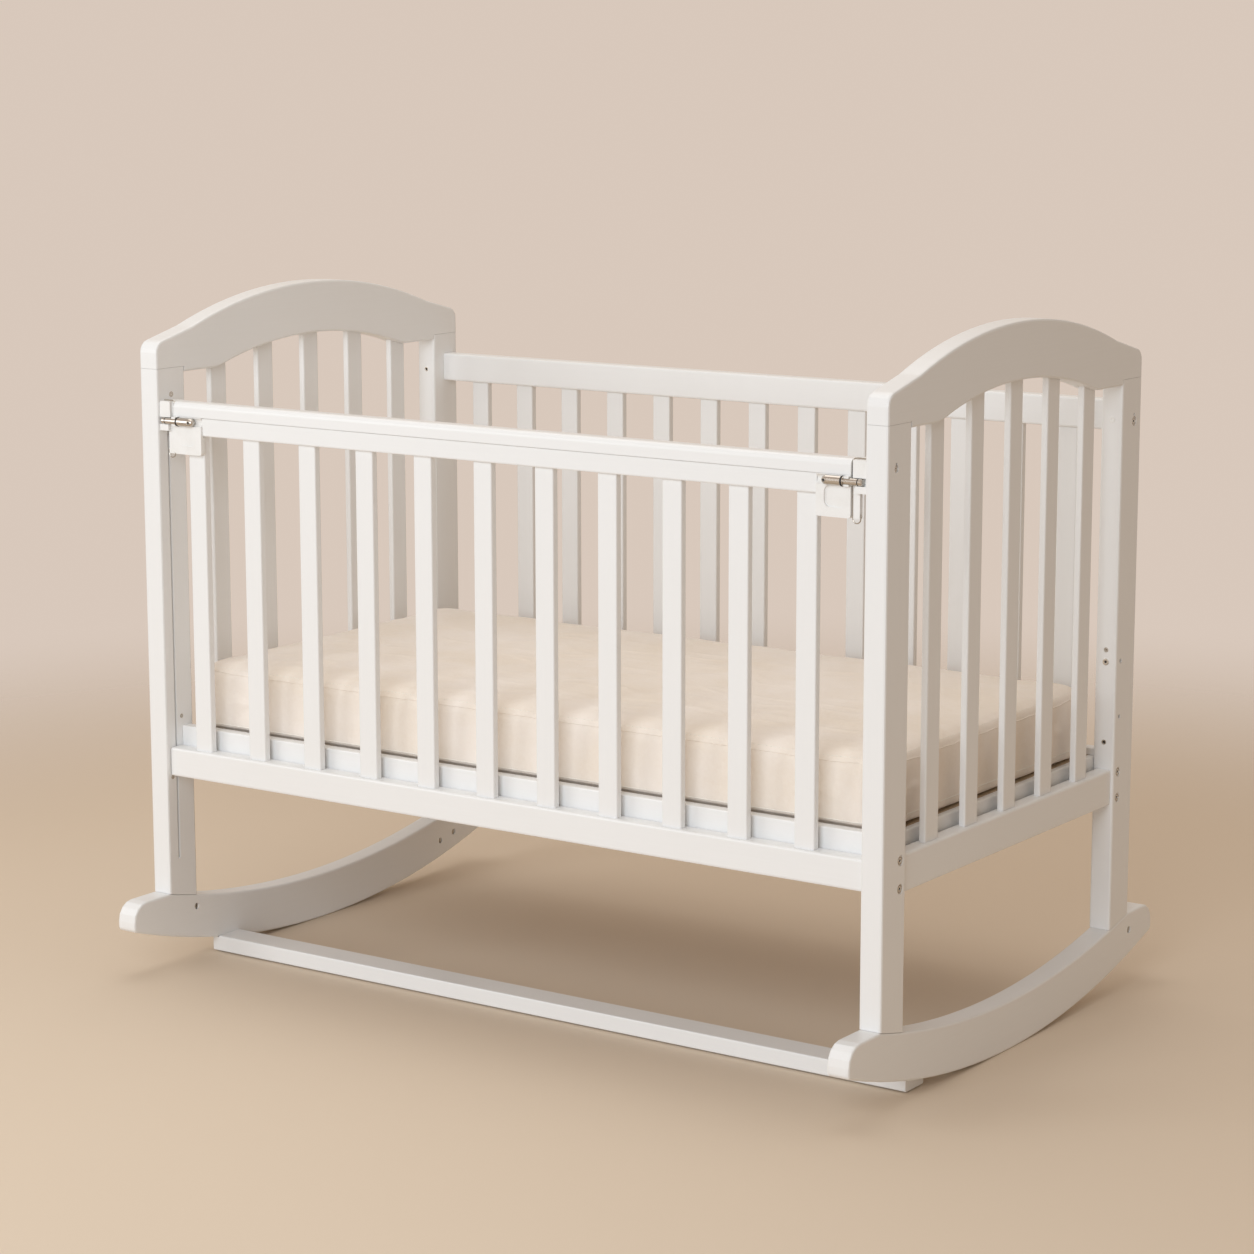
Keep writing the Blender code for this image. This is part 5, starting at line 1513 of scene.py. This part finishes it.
    @staticmethod
    def fix(piece: bpy.types.Object, finishes: Sequence[bpy.types.Material], side: Side) -> None:
        """Hand a fastener over to the frame.

        Args:
            piece: The fastener.
            finishes: Its materials, in the order of its faces' numbers.
            side: The end of the crib that it belongs to.
        """
        Bench.hand_over(piece, finishes, "frame", f"latch_keeper_spring_{side.word}")

    def sink_bottom(self, name: str, at: Vector, radius: float, side: Side) -> None:
        """A dark disc of painted shade at the bottom of a sunk hole, dished like the drill that made it.

        Args:
            name: Its name.
            at: The middle of its front.
            radius: Its radius.
            side: The end of the crib that it belongs to.
        """
        disc = Bench.rod(name, radius, self.floor_thickness, at, side.outward, self.disc_sides)
        Bench.pick(disc, Bench.front(disc, side.outward))
        bpy.ops.mesh.inset(thickness=radius * self.dish_share)
        Bench.push(disc, -side.outward * (self.floor_thickness * self.dish_depth))
        Bench.smooth(disc)
        self.fix(disc, [self.rack.recess], side)

    def bolt_heads(self, head: bpy.types.Object, side: Side) -> None:
        """The heads of the base bolts and of the back rail's bolt, each in its sunk hole.

        Args:
            head: The model of the heads.
            side: The end of the crib.
        """
        places = []
        for end in ("front", "back"):
            y = self.middle_y(f"base_board_{end}")
            for number, z in enumerate(self.base_bolt_heights, 1):
                places.append((f"base_bolt_{end}_{side.word}_{number}", y, z))
        places.append((f"back_rail_bolt_{side.word}", self.middle_y("back_top_rail"), self.rail_bolt_z))
        face = side.outer_x(*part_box(f"post_front_{side.word}"))
        for name, y, z in places:
            at = Vector((face - side.value * self.sunk, y, z))
            self.stand(head, name, at, side.turn_out, side)
            # A disc of painted shade lies at the bottom of each sunk hole, round the head.
            at = Vector((face - side.value * (self.sink_floor - self.floor_thickness), y, z))
            self.sink_bottom(f"{name}_washer", at, self.sink_radius, side)

    @staticmethod
    def middle_y(node: str) -> float:
        """The y of the middle of a node's box."""
        low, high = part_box(node)
        return (low.y + high.y) / 2

    def keeper_screw(self, head: bpy.types.Object, side: Side) -> None:
        """The screw that holds the keeper, sunk in the teardrop hole of the post's outer face.

        Args:
            head: The model of the heads.
            side: The end of the crib.
        """
        face = side.outer_x(*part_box(f"post_front_{side.word}"))
        y = self.middle_y("side_cap_rail")
        at = Vector((face - side.value * self.keeper_sunk, y, self.keeper_screw_z))
        grow = self.keeper_head_radius / self.head_radius
        self.stand(head, f"keeper_screw_{side.word}", at, side.turn_out, side, grow)
        # Painted shade at the bottom of the teardrop hole and in its peak.
        at.x = face - side.value * (self.keeper_floor - self.floor_thickness)
        self.sink_bottom(f"keeper_screw_washer_{side.word}", at, self.keeper_floor_radius, side)
        self.sink_bottom(f"keeper_peak_{side.word}", at + UP * self.peak_rise, self.peak_radius, side)

    def cross_nuts(self, nut: bpy.types.Object, side: Side) -> None:
        """The cross nuts in the rocker's inner face, and the lock screw in its outer face.

        Args:
            nut: The model of the nuts.
            side: The end of the crib.
        """
        low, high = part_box(f"rocker_{side.word}")
        for number, (y, z) in enumerate(self.nut_places, 1):
            at = Vector((side.inner_x(low, high) + side.value * self.nut_inset, y, z))
            self.stand(nut, f"cross_nut_{side.word}_{number}", at, side.turn_in, side)
        outer = side.outer_x(low, high)
        at = Vector((outer - side.value * self.nut_inset, *self.lock_screw_place))
        grow = self.lock_radius / self.nut_radius
        self.stand(nut, f"lock_screw_{side.word}", at, side.turn_in + math.pi, side, grow)

    def inserts(self, models: Mapping[str, bpy.types.Object], side: Side) -> None:
        """The inserts in the back post's front face, one filled by a screw.

        The left post's top insert is open, and the right one's has a plug.

        Args:
            models: The models of the heads and inserts.
            side: The end of the crib.
        """
        low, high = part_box(f"post_back_{side.word}")
        x = (low.x + high.x) / 2
        at = Vector((x, low.y + self.insert_sunk, self.plain_insert_z))
        self.stand(models["insert"], f"base_insert_{side.word}", at, 0.0, side, self.plain_insert_grow)
        at = Vector((x, low.y, self.flanged_insert_z))
        self.stand(models["flanged"], f"flanged_insert_{side.word}", at, 0.0, side)
        at = Vector((x, low.y + self.filled_sunk, self.socket_insert_z))
        grow = self.insert_radius / self.head_radius
        self.stand(models["head"], f"insert_screw_{side.word}", at, -math.pi / 2, side, grow)
        if side is Side.LEFT:
            at = Vector((x, low.y + self.insert_sunk, self.plug_z))
            name = f"rail_insert_{side.word}"
            self.stand(models["insert"], name, at, 0.0, side, self.plain_insert_grow)
            return
        at = Vector((x, low.y - self.flange_height, self.plug_z))
        plug = Bench.rod(
            f"hole_plug_{side.word}", self.flange_radius, self.insert_depth, at, AHEAD, self.insert_sides
        )
        Bench.pick(plug, Bench.front(plug, AHEAD))
        bpy.ops.mesh.inset(thickness=self.flange_radius - self.insert_radius * self.hole_share)
        Bench.push(plug, -AHEAD * self.flange_height)
        Bench.soften(plug, self.small_edge)
        self.fix(plug, [self.rack.plastic], side)

    def post_marks(self, head: bpy.types.Object, side: Side) -> None:
        """Small screws in the front post's inner face.

        Args:
            head: The model of the heads.
            side: The end of the crib.
        """
        inner = side.inner_x(*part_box(f"post_front_{side.word}"))
        for number, (y, z, radius) in enumerate(self.mark_places, 1):
            at = Vector((inner - side.value * self.insert_sunk, y, z))
            grow = radius / self.head_radius
            self.stand(head, f"post_screw_{side.word}_{number}", at, side.turn_in, side, grow)


@dataclass
class LatchTrim:
    """The rubber rings and the pull hole of each latch bolt, whose inside is a disc of painted shade."""

    rack: FinishRack
    ring_from_start: float = 0.0300
    ring_radius: float = 0.0060
    ring_wire: float = 0.0011
    hole_from_start: float = 0.0056
    hole_radius: float = 0.0025
    hole_wire: float = 0.0006
    tip_from_end: float = 0.0068
    tip_radius: float = 0.0042
    tip_wire: float = 0.0007
    rim_sunk: float = 0.0001
    plug_depth: float = 0.0012
    plug_proud: float = 0.0003
    plug_edge: float = 0.2
    plug_dish: float = 0.0001
    plug_sides: int = 24

    def build(self) -> None:
        """Trim both bolts."""
        for side in Side:
            body = f"latch_bolt_{side.word}"
            low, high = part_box(body)
            middle_y = (low.y + high.y) / 2
            middle_z = (low.z + high.z) / 2
            start = side.inner_x(low, high)
            at = Vector((start + side.value * self.ring_from_start, middle_y, middle_z))
            name = f"bolt_ring_{side.word}"
            ring = Bench.ring(name, self.ring_radius, self.ring_wire, at, RIGHTWARD)
            Bench.hand_over(ring, [self.rack.rubber], body, body)
            tip = side.outer_x(low, high)
            at = Vector((tip - side.value * self.tip_from_end, middle_y, middle_z))
            name = f"tip_ring_{side.word}"
            ring = Bench.ring(name, self.tip_radius, self.tip_wire, at, RIGHTWARD)
            Bench.hand_over(ring, [self.rack.rubber], body, body)
            hole_x = start + side.value * self.hole_from_start
            self.pull_hole(Vector((hole_x, low.y + self.rim_sunk, middle_z)), side)

    def pull_hole(self, at: Vector, side: Side) -> None:
        """The rimmed hole in a bolt's finger end, whose inside is a disc of painted shade.

        Args:
            at: The middle of its rim.
            side: The end of the crib that it belongs to.
        """
        body = f"latch_bolt_{side.word}"
        rim = Bench.ring(f"pull_hole_rim_{side.word}", self.hole_radius, self.hole_wire, at, AHEAD)
        Bench.hand_over(rim, [self.rack.aged], body, body)
        # The hole's inside: a disc of painted shade.
        front = at + AHEAD * self.plug_proud
        plug = Bench.rod(
            f"pull_hole_{side.word}", self.hole_radius, self.plug_depth, front, AHEAD, self.plug_sides
        )
        Bench.pick(plug, Bench.front(plug, AHEAD))
        bpy.ops.mesh.inset(thickness=self.hole_radius * self.plug_edge)
        Bench.push(plug, -AHEAD * self.plug_dish)
        Bench.smooth(plug)
        Bench.hand_over(plug, [self.rack.recess], body, body)


# ---------------------------------------------------------------- studio


@dataclass(frozen=True)
class SoftLamp:
    """A square lamp: its place in metres, its side's length, its power in watts and its colour."""

    name: str
    at: tuple[float, float, float]
    size: float
    power: float
    colour: Colour


@dataclass
class Studio:
    """The pale floor, the soft lamps and the camera."""

    lamps: tuple[SoftLamp, ...] = (
        SoftLamp("key_lamp", (1.25, -4.9, 2.3), 3.4, 156.0, (0.815, 0.905, 1.0)),
        SoftLamp("left_lamp", (-1.7, -2.3, 1.4), 1.4, 17.0, (0.90, 0.96, 1.0)),
        SoftLamp("top_lamp", (-0.5, 0.4, 3.6), 3.0, 40.0, (1.0, 0.985, 0.96)),
    )

    camera_at: Vector = field(default_factory=lambda: Vector((2.7191, -3.9529, 1.4090)))
    camera_tilt: float = 10.356
    camera_roll: float = 0.067
    camera_heading: float = 34.643
    lens: float = 95.14
    floor_colour: Colour = (0.74, 0.62, 0.49)
    floor_reach: float = 9.0
    floor_roughness: float = 0.65
    floor_specular: float = 0.2
    floor_shade: float = 0.985
    cloud_scale: float = 1.5
    backdrop_colour: Colour = (0.69, 0.58, 0.50)
    world_colour: Colour = (1.0, 0.81, 0.635)
    world_strength: float = 0.40
    aim: Vector = field(default_factory=lambda: Vector((0, 0, 0.45)))
    clear_from: float = 1.3
    clear_to: float = 3.2

    def build(self) -> None:
        """Set the floor, the lamps, the world and the camera."""
        self.floor()
        self.world()
        for lamp in self.lamps:
            self.hang(lamp)
        self.camera()

    def floor(self) -> None:
        """A plain pale floor that fades into the background far from the crib."""
        bpy.ops.object.select_all(action="DESELECT")
        bpy.ops.mesh.primitive_circle_add(vertices=96, radius=self.floor_reach, fill_type="NGON")
        floor = Bench.settle("studio_floor")
        graph = ShaderGraph("studio_floor")
        place = graph.place()
        cloud = graph.noise(place, self.cloud_scale)
        darker = tuple(part * self.floor_shade for part in self.floor_colour)
        inputs = {
            "Base Color": graph.mix(cloud, self.floor_colour, darker),
            "Roughness": self.floor_roughness,
            "Specular IOR Level": self.floor_specular,
        }
        near = graph.node("ShaderNodeBsdfPrincipled", {}, inputs)
        far = graph.node("ShaderNodeBsdfTransparent", {}, {})
        away = graph.node("ShaderNodeVectorMath", {"operation": "LENGTH"}, {0: place}, "Value")
        fade = away.ramp(self.clear_from, self.clear_to)
        blend = graph.node("ShaderNodeMixShader", {}, {0: fade, 1: near, 2: far})
        graph.node("ShaderNodeOutputMaterial", {}, {"Surface": blend})
        floor.data.materials.append(graph.owner)

    def world(self) -> None:
        """Soft even light, with the floor's tone as the background that is seen and mirrored."""
        world = bpy.data.worlds.new("studio_world")
        bpy.context.scene.world = world
        graph = ShaderGraph(world)
        lighting = {"Color": self.world_colour, "Strength": self.world_strength}
        soft = graph.node("ShaderNodeBackground", {}, lighting)
        seen = graph.node("ShaderNodeBackground", {}, {"Color": self.backdrop_colour, "Strength": 1.0})
        camera = graph.node("ShaderNodeLightPath", {}, {}, "Is Camera Ray")
        rays = (camera + camera.also("Is Glossy Ray") + camera.also("Is Transmission Ray")).clamped()
        blend = graph.node("ShaderNodeMixShader", {}, {0: rays, 1: soft, 2: seen})
        graph.node("ShaderNodeOutputWorld", {}, {"Surface": blend})

    def hang(self, lamp: SoftLamp) -> None:
        """Hang a square soft lamp that looks at the middle of the crib.

        Args:
            lamp: What it is like.
        """
        light = bpy.data.lights.new(lamp.name, "AREA")
        light.shape = "SQUARE"
        light.size = lamp.size
        light.energy = lamp.power
        light.color = lamp.colour
        thing = bpy.data.objects.new(lamp.name, light)
        thing.location = lamp.at
        thing.rotation_euler = (self.aim - Vector(lamp.at)).to_track_quat("-Z", "Y").to_euler()
        thing.visible_camera = False
        bpy.context.scene.collection.objects.link(thing)

    def camera(self) -> None:
        """The camera where the photograph was taken from."""
        optics = bpy.data.cameras.new("photo_camera")
        optics.lens = self.lens
        camera = bpy.data.objects.new("photo_camera", optics)
        camera.location = self.camera_at
        angles = (90 - self.camera_tilt, self.camera_roll, self.camera_heading)
        camera.rotation_euler = Euler([math.radians(angle) for angle in angles])
        bpy.context.scene.collection.objects.link(camera)
        bpy.context.scene.camera = camera
        bpy.context.scene.view_settings.view_transform = "Standard"


def main() -> None:
    """Dress the crib, sew and trim it, and light it."""
    rack = FinishRack()
    CribDress(rack).build()
    MattressSewing(rack).build()
    Fasteners(rack).build()
    LatchTrim(rack).build()
    Studio().build()


if __name__ == "__main__":
    main()
